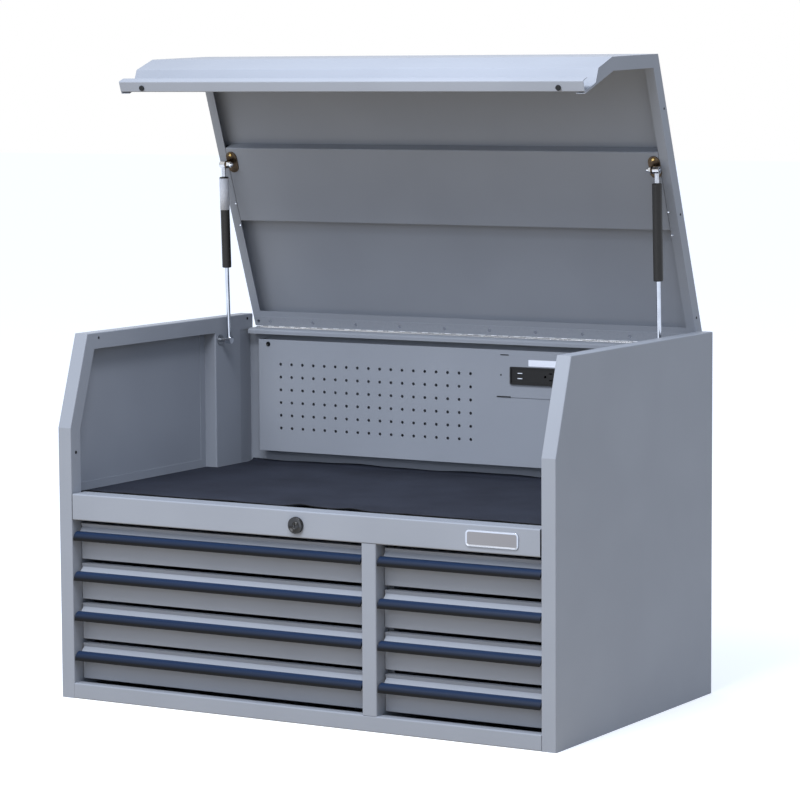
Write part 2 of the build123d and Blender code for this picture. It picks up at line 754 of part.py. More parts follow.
hinge_upper_leaf = hinge_leaf(opened, lid_leaf_bottom, 1, screw_places)
hinge_upper_leaf.part.label = "hinge_upper_leaf"
export_step(hinge_upper_leaf.part, "parts/hinge_upper_leaf.step")

with BuildPart() as hinge_pin:
    with BuildSketch(Plane.YZ.offset(-hinge_half)):
        with Locations((hinge_y, hinge_z)):
            Circle(hinge_pin_radius)
    extrude(amount=2 * hinge_half)
hinge_pin.part.label = "hinge_pin"
export_step(hinge_pin.part, "parts/hinge_pin.step")

with BuildPart() as lid_screws:
    with BuildSketch(opened(Plane.XY.offset(lid_leaf_bottom))):
        for x in screw_places:
            with Locations((x, screw_y)):
                Circle(lid_screw_radius)
    extrude(amount=leaf_thickness)
lid_screws.part.label = "lid_screws"
export_step(lid_screws.part, "parts/lid_screws.step")

# Lid: one folded skin from the hinge flange to the lip, two side walls and the
# flanges turned in along them
lid_top = height - half_sheet
lid_front = front_y + half_sheet
lid_crest = (slope_y(lid_top, half_sheet), lid_top)
lid_brow = (lid_front, slope_z(lid_front, half_sheet))
groove_y = front_y + groove_depth
rim_z = lid_flange_bottom + half_sheet
rim_front = front_y + lid_slope_rim
with BuildPart() as lid_shell:
    with BuildSketch(opened(Plane.YZ.offset(-lid_half))):
        with BuildLine():
            FilletPolyline(
                (back_y - lid_back_flange, lid_flange_bottom + half_sheet),
                (back_y - half_sheet, lid_flange_bottom + half_sheet),
                (back_y - half_sheet, lid_top),
                lid_crest,
                lid_brow,
                (lid_front, groove_top),
                (groove_y, groove_bend),
                (groove_y, lid_lip_bottom + half_sheet),
                (lid_front, lid_lip_bottom + half_sheet),
                (lid_front, lid_lip_top),
                radius=bend,
            )
        trace(line_width=sheet)
    extrude(amount=2 * lid_half)
    for start in (-lid_half, lid_half - sheet):
        with BuildSketch(opened(Plane.YZ.offset(start))):
            with BuildLine():
                Polyline(
                    (back_y - half_sheet, lid_flange_bottom + half_sheet),
                    (back_y - half_sheet, lid_top),
                    lid_crest,
                    lid_brow,
                    (lid_front, groove_top),
                    (groove_y, groove_bend),
                    (groove_y, lid_lip_bottom + half_sheet),
                    (rim_front, lid_lip_bottom + half_sheet),
                    (rim_front, slope_z(rim_front, lid_slope_rim)),
                    (slope_y(rim_z, lid_slope_rim), rim_z),
                    (back_y - lid_back_flange, rim_z),
                    close=True,
                )
            make_face()
        extrude(amount=sheet)
    for start in (-lid_half, lid_half - lid_side_flange):
        with BuildSketch(opened(Plane.YZ.offset(start))):
            with BuildLine():
                FilletPolyline(
                    (back_y - half_sheet, rim_z),
                    (slope_y(rim_z, lid_slope_rim), rim_z),
                    (rim_front, slope_z(rim_front, lid_slope_rim)),
                    (rim_front, lid_lip_bottom + half_sheet),
                    radius=bend,
                )
            trace(line_width=sheet)
        extrude(amount=lid_side_flange)
lid_shell.part.label = "lid_shell"
export_step(lid_shell.part, "parts/lid_shell.step")

# Hat stiffener across the lid, its edges against the lid's top
with BuildPart() as lid_stiffener:
    with BuildSketch(opened(Plane.YZ.offset(-stiffener_half))):
        with BuildLine():
            FilletPolyline(
                (stiffener_front + half_sheet, height - sheet),
                (stiffener_front + half_sheet, rim_z),
                (stiffener_back - half_sheet, rim_z),
                (stiffener_back - half_sheet, height - sheet),
                radius=bend,
            )
        trace(line_width=sheet)
    extrude(amount=2 * stiffener_half)
lid_stiffener.part.label = "lid_stiffener"
export_step(lid_stiffener.part, "parts/lid_stiffener.step")

bumper_height = lid_lip_bottom - beam_top - running_gap
with BuildPart() as lid_bumpers:
    with BuildSketch(opened(Plane.XY.offset(lid_lip_bottom))):
        with Locations((-bumper_x, front_y + bumper_setback), (bumper_x, front_y + bumper_setback)):
            Circle(bumper_radius)
    extrude(amount=-bumper_height)
    fillet(lid_bumpers.edges().filter_by(GeomType.CIRCLE).group_by(Axis.Y)[0], radius=1)
lid_bumpers.part.label = "lid_bumpers"
export_step(lid_bumpers.part, "parts/lid_bumpers.step")

# Gas struts, made on the right and mirrored
pivot_plane = opened(Plane.XY.offset(strut_shut_z))
pivot = pivot_plane.from_local_coords((strut_x, strut_shut_y, 0))
strut_low = Vector(strut_x, strut_low_y, strut_low_z)
strut_axis = pivot - strut_low
strut_open = strut_axis.length
strut_shut = hypot(strut_shut_y - strut_low_y, strut_shut_z - strut_low_z)
stroke = strut_open - strut_shut
along = Plane(origin=strut_low, x_dir=(1, 0, 0), z_dir=strut_axis)
tube_top = strut_open - strut_tube_drop
tube_foot = tube_top - strut_tube_length
with BuildPart() as strut_right_cylinder:
    with BuildSketch(along.offset(tube_foot)):
        Circle(strut_radius)
    extrude(amount=strut_tube_length)
    ends = strut_right_cylinder.edges().filter_by(GeomType.CIRCLE)
    fillet(ends, radius=bend)
    with BuildSketch(along.offset(tube_foot + strut_gland)):
        Circle(strut_radius - strut_wall)
    extrude(amount=strut_tube_length - strut_gland - 2 * bend, mode=Mode.SUBTRACT)
    with BuildSketch(along.offset(tube_foot)):
        Circle(rod_radius + fit_gap)
    extrude(amount=strut_gland, mode=Mode.SUBTRACT)
    with BuildSketch(along.offset(tube_top)):
        Circle(neck_radius)
    extrude(amount=strut_tube_drop)
    with BuildSketch(Plane.YZ.offset(strut_x - eye_width / 2)):
        with Locations((pivot.Y, pivot.Z)):
            Circle(eye_radius)
    extrude(amount=eye_width)
    with BuildSketch(Plane.YZ.offset(strut_x - eye_width / 2)):
        with Locations((pivot.Y, pivot.Z)):
            Circle(stud_radius + fit_gap)
    extrude(amount=eye_width, mode=Mode.SUBTRACT)

piston_start = tube_foot + strut_gland + 1
with BuildPart() as strut_right_rod:
    with BuildSketch(along):
        Circle(rod_radius)
    extrude(amount=piston_start)
    with BuildSketch(along.offset(piston_start)):
        Circle(strut_radius - strut_wall - fit_gap)
    extrude(amount=piston_length)
    with BuildSketch(Plane.YZ.offset(strut_x - eye_width / 2)):
        with Locations((strut_low.Y, strut_low.Z)):
            Circle(eye_radius)
    extrude(amount=eye_width)

for node, right_piece in (("cylinder", strut_right_cylinder), ("rod", strut_right_rod)):
    right_piece.part.label = f"strut_right_{node}"
    export_step(right_piece.part, f"parts/strut_right_{node}.step")
    with BuildPart() as left_piece:
        mirror(right_piece.part, about=Plane.YZ)
    left_piece.part.label = f"strut_left_{node}"
    export_step(left_piece.part, f"parts/strut_left_{node}.step")

# Lower studs, each from the channel's face to just short of the rod's eye
stud_end = strut_x + eye_width / 2 + running_gap
with BuildPart() as strut_lower_studs:
    with BuildSketch(Plane.YZ.offset(stud_end)):
        with Locations((strut_low_y, strut_low_z)):
            Circle(stud_radius)
    extrude(amount=channel_face - stud_end)
    with BuildSketch(Plane.YZ.offset(channel_face)):
        with Locations((strut_low_y, strut_low_z)):
            Circle(stud_flange_radius)
    extrude(amount=-bend)
    mirror(about=Plane.YZ)
strut_lower_studs.part.label = "strut_lower_studs"
export_step(strut_lower_studs.part, "parts/strut_lower_studs.step")

# Upper brackets under the stiffener, each with its stud and cone nut
bracket_top = rim_z - half_sheet
bracket_foot = strut_shut_z - eye_radius - 2 * bend
bracket_x = strut_x - eye_width / 2 - running_gap - bend - bracket_plate
with BuildPart() as strut_upper_brackets:
    with BuildSketch(opened(Plane.XY.offset(bracket_top - bracket_plate))):
        with Locations((stiffener_half - bracket_width / 2, (stiffener_front + strut_shut_y + bend) / 2)):
            Rectangle(bracket_width, bracket_length)
    extrude(amount=bracket_plate)
    with BuildSketch(opened(Plane.YZ.offset(bracket_x))):
        with Locations((strut_shut_y, (bracket_top + bracket_foot) / 2)):
            RectangleRounded(bracket_width, bracket_top - bracket_foot, bend)
    extrude(amount=bracket_plate)
    with BuildSketch(opened(Plane.YZ.offset(bracket_x - bracket_nut_length))):
        with Locations((strut_shut_y, strut_shut_z)):
            Circle(stud_radius)
    extrude(amount=strut_x + eye_width / 2 - bracket_x + bracket_nut_length)
    with BuildSketch(opened(Plane.YZ.offset(bracket_x))):
        with Locations((strut_shut_y, strut_shut_z)):
            Circle(eye_radius)
    extrude(amount=-bracket_nut_length, taper=12)
    mirror(about=Plane.YZ)
strut_upper_brackets.part.label = "strut_upper_brackets"
export_step(strut_upper_brackets.part, "parts/strut_upper_brackets.step")

# Figures for the joints
strut_turn = degrees(atan2(strut_shut_z - strut_low_z, strut_shut_y - strut_low_y)) - degrees(
    atan2(strut_axis.Z, strut_axis.Y)
)
print("hinge axis", hinge_y, hinge_z)
print("upper pivot", round(pivot.Y, 4), round(pivot.Z, 4), "strut axis", strut_axis.normalized())
print("strut turns", round(strut_turn - open_angle, 4), "degrees in the lid, stroke", round(stroke, 4))
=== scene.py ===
# %% [markdown]
# # A top tool chest in folded steel
# This notebook dresses a finished CAD model of a wide workshop tool chest. The
# folded panels, drawers, slides, struts and hinge already exist as solids at their
# real size. What is left for Blender is the finish of every surface, the soft mat,
# the small plates, screws and plugs, black discs and strips of painted shade, the
# light and the camera.

# %% Load the model
import json
from math import cos, exp, radians, sin, tau

import bmesh
import bpy
from mathutils import Matrix, Vector


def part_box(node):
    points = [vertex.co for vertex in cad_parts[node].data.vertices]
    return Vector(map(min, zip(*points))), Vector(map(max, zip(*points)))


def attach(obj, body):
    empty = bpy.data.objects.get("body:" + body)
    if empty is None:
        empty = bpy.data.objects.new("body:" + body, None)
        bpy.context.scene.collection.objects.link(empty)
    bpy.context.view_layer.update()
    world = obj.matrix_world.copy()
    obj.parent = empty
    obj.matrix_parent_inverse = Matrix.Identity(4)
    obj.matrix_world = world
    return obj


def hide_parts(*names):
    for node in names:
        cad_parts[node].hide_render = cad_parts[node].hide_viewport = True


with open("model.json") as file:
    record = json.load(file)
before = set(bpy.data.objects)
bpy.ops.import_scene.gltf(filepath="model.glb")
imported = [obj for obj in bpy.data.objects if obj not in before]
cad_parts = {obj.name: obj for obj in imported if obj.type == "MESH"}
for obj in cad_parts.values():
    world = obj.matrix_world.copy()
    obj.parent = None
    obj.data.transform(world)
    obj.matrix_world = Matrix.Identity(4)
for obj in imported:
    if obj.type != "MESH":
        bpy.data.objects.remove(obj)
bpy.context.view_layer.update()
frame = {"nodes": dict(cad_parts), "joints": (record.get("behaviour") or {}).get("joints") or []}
nodes = frame["nodes"]
MM = 0.001

# %% [markdown]
# ## Names for places
# Every piece that is added sits on a piece of the model, so its place is worked out
# from that piece's box. A box is the lowest and the highest corner in metres.


# %% Boxes of the pieces that carry details
def box_corners(name):
    """The lowest and the highest corner of one piece of the model."""
    low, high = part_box(name)
    return Vector(low), Vector(high)


beam_low = box_corners("front_beam")[0]
board_low, board_high = box_corners("pegboard_panel")
plate_low = box_corners("power_plate")[0]
unit_low = box_corners("power_unit")[0]
mat_low, mat_high = box_corners("compartment_mat")
side_high = box_corners("side_panel_right")[1]
lid_high = box_corners("lid_shell")[1]
lock_low, lock_high = box_corners("lock_housing")
lock_centre = (lock_low + lock_high) / 2
print("beam's front at", round(beam_low.y, 4), "m")

# %% [markdown]
# ## Joints
# The frame also lists the joints, each with its place and its axis. The hinge and the
# left strut's joints say where the details on moving pieces have to go.


# %% Find a joint
def joint_named(name):
    """One joint of the model."""
    return next(joint for joint in frame["joints"] if joint["name"] == name)


hinge_point = Vector(joint_named("lid_hinge")["pos_m"])
print("hinge axis at", [round(value, 4) for value in hinge_point])

# %% [markdown]
# ## The open lid's own directions
# The lid stands open at 70 degrees. Details on it are easiest to place as if it
# were shut, so one matrix turns shut places about the hinge to where they stand.

# %% Turn shut places to the open lid
LID_ANGLE = radians(-70.0)
lid_turn = (
    Matrix.Translation(hinge_point)
    @ Matrix.Rotation(LID_ANGLE, 4, "X")
    @ Matrix.Translation(-hinge_point)
)


def on_lid(x, y, z):
    """Where a point of the shut lid, in millimetres, stands with the lid open."""
    return lid_turn @ Vector((x * MM, y * MM, z * MM))


# %% [markdown]
# ## Materials from nodes
# Each finish is a small node tree around one Principled shader. A helper makes the
# material and hands back the parts that every tree needs. Short helpers add a noise, a
# drift between two close tones, an uneven roughness and a bump, which keep a painted
# or moulded surface from looking computed.


# %% Helpers for node trees
def new_finish(name):
    """A new material, its node tree and its Principled shader."""
    material = bpy.data.materials.new(name)
    material.use_nodes = True
    tree = material.node_tree
    shader = tree.nodes["Principled BSDF"]
    return material, tree, shader


def srgb(red, green, blue):
    """A colour as a painter reads it from a swatch, turned to linear light."""
    channels = []
    for value in (red, green, blue):
        value = value / 255
        channels.append(value / 12.92 if value <= 0.04045 else ((value + 0.055) / 1.055) ** 2.4)
    return (*channels, 1.0)


def object_noise(tree, scale, detail=2.0, stretch=(1, 1, 1)):
    """Noise that reads Object coordinates, so it stays with its piece."""
    coordinates = tree.nodes.new("ShaderNodeTexCoord")
    mapping = tree.nodes.new("ShaderNodeMapping")
    mapping.inputs["Scale"].default_value = stretch
    noise = tree.nodes.new("ShaderNodeTexNoise")
    noise.inputs["Scale"].default_value = scale
    noise.inputs["Detail"].default_value = detail
    tree.links.new(coordinates.outputs["Object"], mapping.inputs["Vector"])
    tree.links.new(mapping.outputs["Vector"], noise.inputs["Vector"])
    return noise


def ramp_between(tree, factor, low, high, start=0.35, end=0.65):
    """A colour that runs from low to high as the factor passes start and end."""
    ramp = tree.nodes.new("ShaderNodeValToRGB")
    ramp.color_ramp.elements[0].position = start
    ramp.color_ramp.elements[0].color = low
    ramp.color_ramp.elements[1].position = end
    ramp.color_ramp.elements[1].color = high
    tree.links.new(factor, ramp.inputs["Fac"])
    return ramp


def add_tone(tree, shader, factor, dark, light):
    """Colour the surface with two close tones."""
    tone = ramp_between(tree, factor, dark, light)
    tree.links.new(tone.outputs["Color"], shader.inputs["Base Color"])


def add_roughness(tree, shader, factor, low, high):
    """Let the roughness run from low to high with the factor."""
    spread = tree.nodes.new("ShaderNodeMapRange")
    spread.inputs["To Min"].default_value = low
    spread.inputs["To Max"].default_value = high
    tree.links.new(factor, spread.inputs["Value"])
    tree.links.new(spread.outputs["Result"], shader.inputs["Roughness"])


def add_bump(tree, shader, height, strength, distance):
    """Feed a height into the shader's normal."""
    bump = tree.nodes.new("ShaderNodeBump")
    bump.inputs["Strength"].default_value = strength
    bump.inputs["Distance"].default_value = distance
    tree.links.new(height, bump.inputs["Height"])
    tree.links.new(bump.outputs["Normal"], shader.inputs["Normal"])


# %% [markdown]
# ## Blue-grey enamel
# The chest is sprayed with a smooth satin enamel. It is nearly flat in colour, so
# the life comes from a very weak change in tone over hand-sized areas, a slightly
# uneven sheen and the fine ripple that sprayed paint keeps when it dries.

# %% Chest enamel
PAINT = srgb(148, 151, 157)
PAINT_LIGHT = srgb(152, 155, 161)
SHEEN_SPREAD = 0.03


def enamel(name, dark, light, roughness):
    """Sprayed enamel with a weak drift in tone and sheen."""
    material, tree, shader = new_finish(name)
    drift = object_noise(tree, 5.0, 2.0)
    add_tone(tree, shader, drift.outputs["Fac"], dark, light)
    sheen = object_noise(tree, 22.0, 3.0)
    add_roughness(tree, shader, sheen.outputs["Fac"],
                  roughness - SHEEN_SPREAD, roughness + SHEEN_SPREAD)
    ripple = object_noise(tree, 420.0, 1.0)
    add_bump(tree, shader, ripple.outputs["Fac"], strength=0.12, distance=0.0002)
    shader.inputs["Specular IOR Level"].default_value = 0.15
    return material


chest_enamel = enamel("chest_enamel", PAINT, PAINT_LIGHT, 0.42)
badge_field = enamel("badge_field", srgb(139, 137, 138), srgb(145, 143, 144), 0.3)

# %% [markdown]
# ## Dark blue pull trim
# The pulls are a moulded dark blue strip. Painted shade darkens it to black along its
# lower edge, where it curves under.
# The rows are 75 mm apart, so one material serves them all: Object height above the
# lowest strip's lower edge is taken modulo the pitch, and runs from 0 to 1 over a strip.

# %% Pull trim
TRIM_TOP = srgb(28, 44, 70)
TRIM_TOP_STREAK = srgb(33, 50, 78)
# The near-black foot is painted shade for each strip's curved underside.
TRIM_FOOT_SHADE = srgb(9, 9, 10)
FADE_START = 0.25
FADE_END = 0.9
ROW_PITCH = 75 * MM
trim_low, trim_high = box_corners("drawer_left_4_pull")


def height_in_strip(tree):
    """0 at a strip's lower edge and 1 at its upper edge, in every row."""
    coordinates = tree.nodes.new("ShaderNodeTexCoord")
    split = tree.nodes.new("ShaderNodeSeparateXYZ")
    tree.links.new(coordinates.outputs["Object"], split.inputs["Vector"])
    value = split.outputs["Z"]
    steps = (
        ("SUBTRACT", trim_low.z),
        ("FLOORED_MODULO", ROW_PITCH),
        ("DIVIDE", trim_high.z - trim_low.z),
    )
    for operation, number in steps:
        step = tree.nodes.new("ShaderNodeMath")
        step.operation = operation
        step.inputs[1].default_value = number
        tree.links.new(value, step.inputs[0])
        value = step.outputs["Value"]
    return value


def satin_trim(name):
    """Dark blue trim with painted shade to black at its foot, and faint lines along its length."""
    material, tree, shader = new_finish(name)
    lines = object_noise(tree, 60.0, 2.0, stretch=(0.05, 8, 8))
    blue = ramp_between(tree, lines.outputs["Fac"], TRIM_TOP, TRIM_TOP_STREAK)
    # Painted shade: the blue darkens towards each strip's foot.
    fade = ramp_between(tree, height_in_strip(tree), (0, 0, 0, 1), (1, 1, 1, 1), FADE_START, FADE_END)
    tone = tree.nodes.new("ShaderNodeMix")
    tone.data_type = "RGBA"
    tone.inputs["A"].default_value = TRIM_FOOT_SHADE
    tree.links.new(fade.outputs["Color"], tone.inputs["Factor"])
    tree.links.new(blue.outputs["Color"], tone.inputs["B"])
    tree.links.new(tone.outputs["Result"], shader.inputs["Base Color"])
    shader.inputs["Roughness"].default_value = 0.45
    shader.inputs["Specular IOR Level"].default_value = 0.15
    add_bump(tree, shader, lines.outputs["Fac"], strength=0.06, distance=0.0002)
    return material


pull_trim = satin_trim("pull_trim")

# %% [markdown]
# ## Metals
# Zinc plated steel on the slides and studs is soft and slightly mottled, chrome on the
# strut rods is nearly a mirror, and the strut brackets are dark bronze. The rivets and
# nuts are bright, and the badge plate is finely brushed. Each is one metallic shader
# whose tone and roughness follow the same mottling.


# %% Plated steel, chrome and bronze
HAZE_SPREAD = 0.2


def plated(name, dark, light, roughness, mottling):
    """Bare or plated metal with a mottled tone."""
    material, tree, shader = new_finish(name)
    mottle = object_noise(tree, mottling, 3.0)
    add_tone(tree, shader, mottle.outputs["Fac"], dark, light)
    shader.inputs["Metallic"].default_value = 1.0
    haze = roughness * HAZE_SPREAD
    add_roughness(tree, shader, mottle.outputs["Fac"], roughness - haze, roughness + haze)
    return material


zinc = plated("zinc_plate", srgb(150, 153, 158), srgb(172, 175, 180), 0.34, 180.0)
chrome = plated("chrome_plate", srgb(196, 199, 205), srgb(212, 215, 220), 0.08, 40.0)
bronze = plated("bronze_bracket", srgb(74, 62, 50), srgb(92, 78, 62), 0.4, 240.0)
brass = plated("brass_rivet", srgb(190, 160, 96), srgb(206, 178, 116), 0.25, 240.0)
bright_plate = plated("bright_plate", srgb(205, 208, 213), srgb(220, 223, 228), 0.16, 60.0)
brushed = plated("brushed_plate", srgb(178, 182, 190), srgb(186, 190, 198), 0.3, 500.0)

# %% [markdown]
# ## Blacks
# Four blacks sit close together and have to stay apart: gloss on the lock and the
# screws, a slightly grained moulded face on the power strip, matt rubber on the bumpers
# and a plug, which also serves as painted shade in open holes, a slit and a gap, and the
# near-black of painted shade on the foam mat's cut edge. One helper makes them all, and
# they differ in roughness, in the size and depth of their grain, and in a clear coat.


# %% Moulded and painted blacks
def grained_black(name, dark, light, roughness, grain_scale, grain_depth=0.00001, coat=0.0):
    """Black plastic, paint or rubber with its own grain."""
    material, tree, shader = new_finish(name)
    grain = object_noise(tree, grain_scale, 3.0)
    add_tone(tree, shader, grain.outputs["Fac"], dark, light)
    shader.inputs["Roughness"].default_value = roughness
    shader.inputs["Coat Weight"].default_value = coat
    shader.inputs["Coat Roughness"].default_value = 0.08
    shader.inputs["Specular IOR Level"].default_value = 0.35
    add_bump(tree, shader, grain.outputs["Fac"], strength=0.3, distance=grain_depth)
    return material


lock_gloss = grained_black("lock_gloss", srgb(5, 5, 6), srgb(8, 8, 10), 0.14, 90.0, coat=0.3)
lock_core = grained_black("lock_core", srgb(11, 11, 12), srgb(16, 16, 17), 0.14, 120.0, coat=0.3)
screw_black = grained_black("screw_black", srgb(8, 8, 9), srgb(12, 12, 13), 0.25, 90.0, coat=0.2)
strip_black = grained_black("strip_black", srgb(17, 17, 18), srgb(23, 23, 24), 0.5, 900.0, 0.00006)
# This rubber black is real on the bumpers and the plug, and painted shade on the discs in open holes and
# on the power plate's strips.
rubber_and_shade_black = grained_black("rubber_and_shade_black", srgb(16, 16, 17), srgb(24, 24, 25), 0.75, 700.0, 0.0001)

# %% [markdown]
# ## Two finishes on one solid
# The tube of a gas strut is black, and the end fitting screwed into it is bright. The
# hinge's leaves are painted, and their rolled knuckles are bare. Each is one solid in
# the model, so a mask on Object coordinates splits it: 0 for the painted part and 1 for
# the bare metal. It drives the colour, the metal and the roughness together.

# %% Masks
STRUT_PIVOT = Vector(joint_named("strut_left_swing")["pos_m"])
NECK = STRUT_PIVOT.z - 23.5 * MM
KNUCKLE_REACH = 3.6 * MM


def above_neck(tree):
    """1 where the Object coordinate is higher than the strut's neck."""
    coordinates = tree.nodes.new("ShaderNodeTexCoord")
    split = tree.nodes.new("ShaderNodeSeparateXYZ")
    above = tree.nodes.new("ShaderNodeMath")
    above.operation = "GREATER_THAN"
    above.inputs[1].default_value = NECK
    tree.links.new(coordinates.outputs["Object"], split.inputs["Vector"])
    tree.links.new(split.outputs["Z"], above.inputs[0])
    return above.outputs["Value"]


def near_hinge(tree):
    """1 where the Object coordinate is within a knuckle's radius of the hinge's axis."""
    coordinates = tree.nodes.new("ShaderNodeTexCoord")
    flatten = tree.nodes.new("ShaderNodeVectorMath")
    flatten.operation = "MULTIPLY"
    flatten.inputs[1].default_value = (0, 1, 1)
    reach = tree.nodes.new("ShaderNodeVectorMath")
    reach.operation = "DISTANCE"
    reach.inputs[1].default_value = (0, hinge_point.y, hinge_point.z)
    near = tree.nodes.new("ShaderNodeMath")
    near.operation = "LESS_THAN"
    near.inputs[1].default_value = KNUCKLE_REACH
    tree.links.new(coordinates.outputs["Object"], flatten.inputs[0])
    tree.links.new(flatten.outputs["Vector"], reach.inputs[0])
    tree.links.new(reach.outputs["Value"], near.inputs[0])
    return near.outputs["Value"]


# %% Painted and bare metal in one material
def part_bare(name, mask, dark, light, bare_dark, bare_light, roughness, bare_roughness):
    """Paint where the mask is 0 and bare metal where it is 1."""
    material, tree, shader = new_finish(name)
    bare = mask(tree)
    grain = object_noise(tree, 260.0, 2.0)
    paint = ramp_between(tree, grain.outputs["Fac"], dark, light)
    metal = ramp_between(tree, grain.outputs["Fac"], bare_dark, bare_light)
    tone = tree.nodes.new("ShaderNodeMix")
    tone.data_type = "RGBA"
    tree.links.new(bare, tone.inputs["Factor"])
    tree.links.new(paint.outputs["Color"], tone.inputs["A"])
    tree.links.new(metal.outputs["Color"], tone.inputs["B"])
    tree.links.new(tone.outputs["Result"], shader.inputs["Base Color"])
    tree.links.new(bare, shader.inputs["Metallic"])
    add_roughness(tree, shader, bare, roughness, bare_roughness)
    shader.inputs["Specular IOR Level"].default_value = 0.35
    add_bump(tree, shader, grain.outputs["Fac"], strength=0.1, distance=0.00003)
    return material


tube_finish = part_bare(
    "strut_tube", above_neck, srgb(25, 23, 21), srgb(32, 30, 27),
    srgb(186, 186, 188), srgb(206, 206, 208), roughness=0.38, bare_roughness=0.16,
)
hinge_finish = part_bare(
    "hinge_leaf", near_hinge, PAINT, PAINT_LIGHT,
    srgb(214, 215, 218), srgb(232, 233, 236), roughness=0.42, bare_roughness=0.22,
)
print("neck at", round(NECK, 4), "m")

# %% [markdown]
# ## Finishes on the model's own pieces
# A piece whose solid is right keeps its mesh and only gets a finish. The table below
# pairs each finish with the pieces that wear it, and anything else is enamel.

# %% Give each node its finish
finish_of = {
    "lock_housing": lock_gloss,
    "lock_barrel": lock_core,
    "lock_bar": zinc,
    "slide_fixed_members": zinc,
    "power_unit": strip_black,
    "hinge_pin": zinc,
    "lid_screws": bright_plate,
    "lid_bumpers": rubber_and_shade_black,
    "strut_left_cylinder": tube_finish,
    "strut_right_cylinder": tube_finish,
    "strut_left_rod": chrome,
    "strut_right_rod": chrome,
    "strut_lower_studs": zinc,
    "strut_upper_brackets": bronze,
}
for name, node in nodes.items():
    finish = finish_of.get(name, chest_enamel)
    if name.endswith("_pull"):
        finish = pull_trim
    if name.startswith("hinge_") and name not in finish_of:
        finish = hinge_finish
    if name.endswith(("_slide_inners", "_slide_middles")):
        finish = zinc
    for slot in node.material_slots:
        slot.material = finish
print("finishes given to", len(nodes), "nodes")

# %% [markdown]
# ## Making a piece
# A new piece starts as a bmesh. This helper gives it a finish, lets it ride on the
# body that carries it and reports its size, so that a slip shows at once.


# %% Helper that turns a bmesh into a piece
def make_piece(name, shape, finish, body, smooth=False):
    """Store a bmesh as an object that rides on a body."""
    bmesh.ops.remove_doubles(shape, verts=shape.verts, dist=1e-6)
    bmesh.ops.recalc_face_normals(shape, faces=shape.faces)
    for face in shape.faces:
        face.smooth = smooth
    mesh = bpy.data.meshes.new(name)
    shape.to_mesh(mesh)
    shape.free()
    mesh.materials.append(finish)
    piece = bpy.data.objects.new(name, mesh)
    bpy.context.collection.objects.link(piece)
    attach(piece, body)
    spans = [max(values) - min(values) for values in zip(*piece.bound_box)]
    print(name, "size in mm", [round(span / MM, 1) for span in spans], "faces", len(mesh.polygons))
    return piece


def facing(point, outward, upward=(0, 0, 1)):
    """A matrix whose Z axis is outward and whose Y axis is as near to upward as can be."""
    z_axis = Vector(outward).normalized()
    x_axis = Vector(upward).cross(z_axis).normalized()
    y_axis = z_axis.cross(x_axis)
    turn = Matrix((x_axis, y_axis, z_axis)).transposed().to_4x4()
    return Matrix.Translation(Vector(point)) @ turn


# %% [markdown]
# ## Small heads and plugs
# Screw heads, rivets and hole plugs are all low turned shapes with a recess. One helper
# makes them: a short cone for the sloped rim, and its top face inset and sunk.


# %% Helper for a turned head
HEAD_TAPER = 0.86
RECESS_DEPTH = 0.6


def add_head(shape, place, radius, height, recess=0.5, sides=20):
    """Add a tapered head to a bmesh, with a sunk recess in its top face."""
    made = bmesh.ops.create_cone(
        shape, cap_ends=True, segments=sides, radius1=radius, radius2=radius * HEAD_TAPER,
        depth=height, matrix=place @ Matrix.Translation((0, 0, height / 2)),
    )
    axis = place.to_3x3() @ Vector((0, 0, 1))
    faces = {face for vert in made["verts"] for face in vert.link_faces}
    top = max(faces, key=lambda face: (face.calc_center_median() - place.translation).dot(axis))
    bmesh.ops.inset_region(shape, faces=[top], thickness=radius * recess)
    bmesh.ops.translate(shape, verts=top.verts, vec=-axis * height * RECESS_DEPTH)


# %% [markdown]
# ## Dark discs, a plug and screws on the chest
# The photograph shows small dark holes along the folded upper edge of the left side,
# one near its front, and black screws in the upper corners of the tool panel.

# %% Screws of the tool panel
BOARD_SCREW_INSET = 24 * MM
BOARD_SCREW_DROP = 9.3 * MM
screw_shape = bmesh.new()
for x in (board_low.x + BOARD_SCREW_INSET, board_high.x - BOARD_SCREW_INSET):
    place = facing((x, board_low.y, board_high.z - BOARD_SCREW_DROP), (0, -1, 0))
    add_head(screw_shape, place, radius=5 * MM, height=1.8 * MM)
make_piece("tool_panel_screws", screw_shape, screw_black, "chest")

# %% Black discs in the side panels, each (depth, height, radius) in mm
FLANGE_WIDTH = 28.3 * MM
INNER_FLANGE_X = side_high.x - FLANGE_WIDTH
SIDE_HOLE_SHADES_AND_PLUG = ((-215, 666, 2.6), (289, 667, 3.0), (-292, 459, 3.2))
# The two discs high on the folded edge are painted shade for open holes, and the low one near the front is
# a black plug.
side_shade_and_plug_shape = bmesh.new()
for sign in (-1, 1):
    for y, z, radius in SIDE_HOLE_SHADES_AND_PLUG:
        place = facing((sign * INNER_FLANGE_X, y * MM, z * MM), (-sign, 0, 0))
        add_head(side_shade_and_plug_shape, place, radius * MM, height=0.5 * MM, recess=0.3)
make_piece("side_panel_shades_and_plug", side_shade_and_plug_shape, rubber_and_shade_black, "chest")

# %% [markdown]
# ## The lid's small fasteners and painted hole shade
# Black discs in the holes of the lid's side walls are painted shade for the open holes,
# and bright rivets sit in the side flanges at both edges of the stiffener. Both are
# placed as on the shut lid, in millimetres, and turned with it.


# %% Painted shade in the holes of the lid's side walls
def lid_facing(place, outward, upward):
    """A matrix on the open lid, from a place and directions of the shut lid."""
    turn = lid_turn.to_3x3()
    return facing(on_lid(*place), turn @ Vector(outward), turn @ Vector(upward))


LID_WALL_X = lid_high.x / MM
LID_HOLE_SHADES = ((-150, 666), (55, 664), (260.5, 662.5))
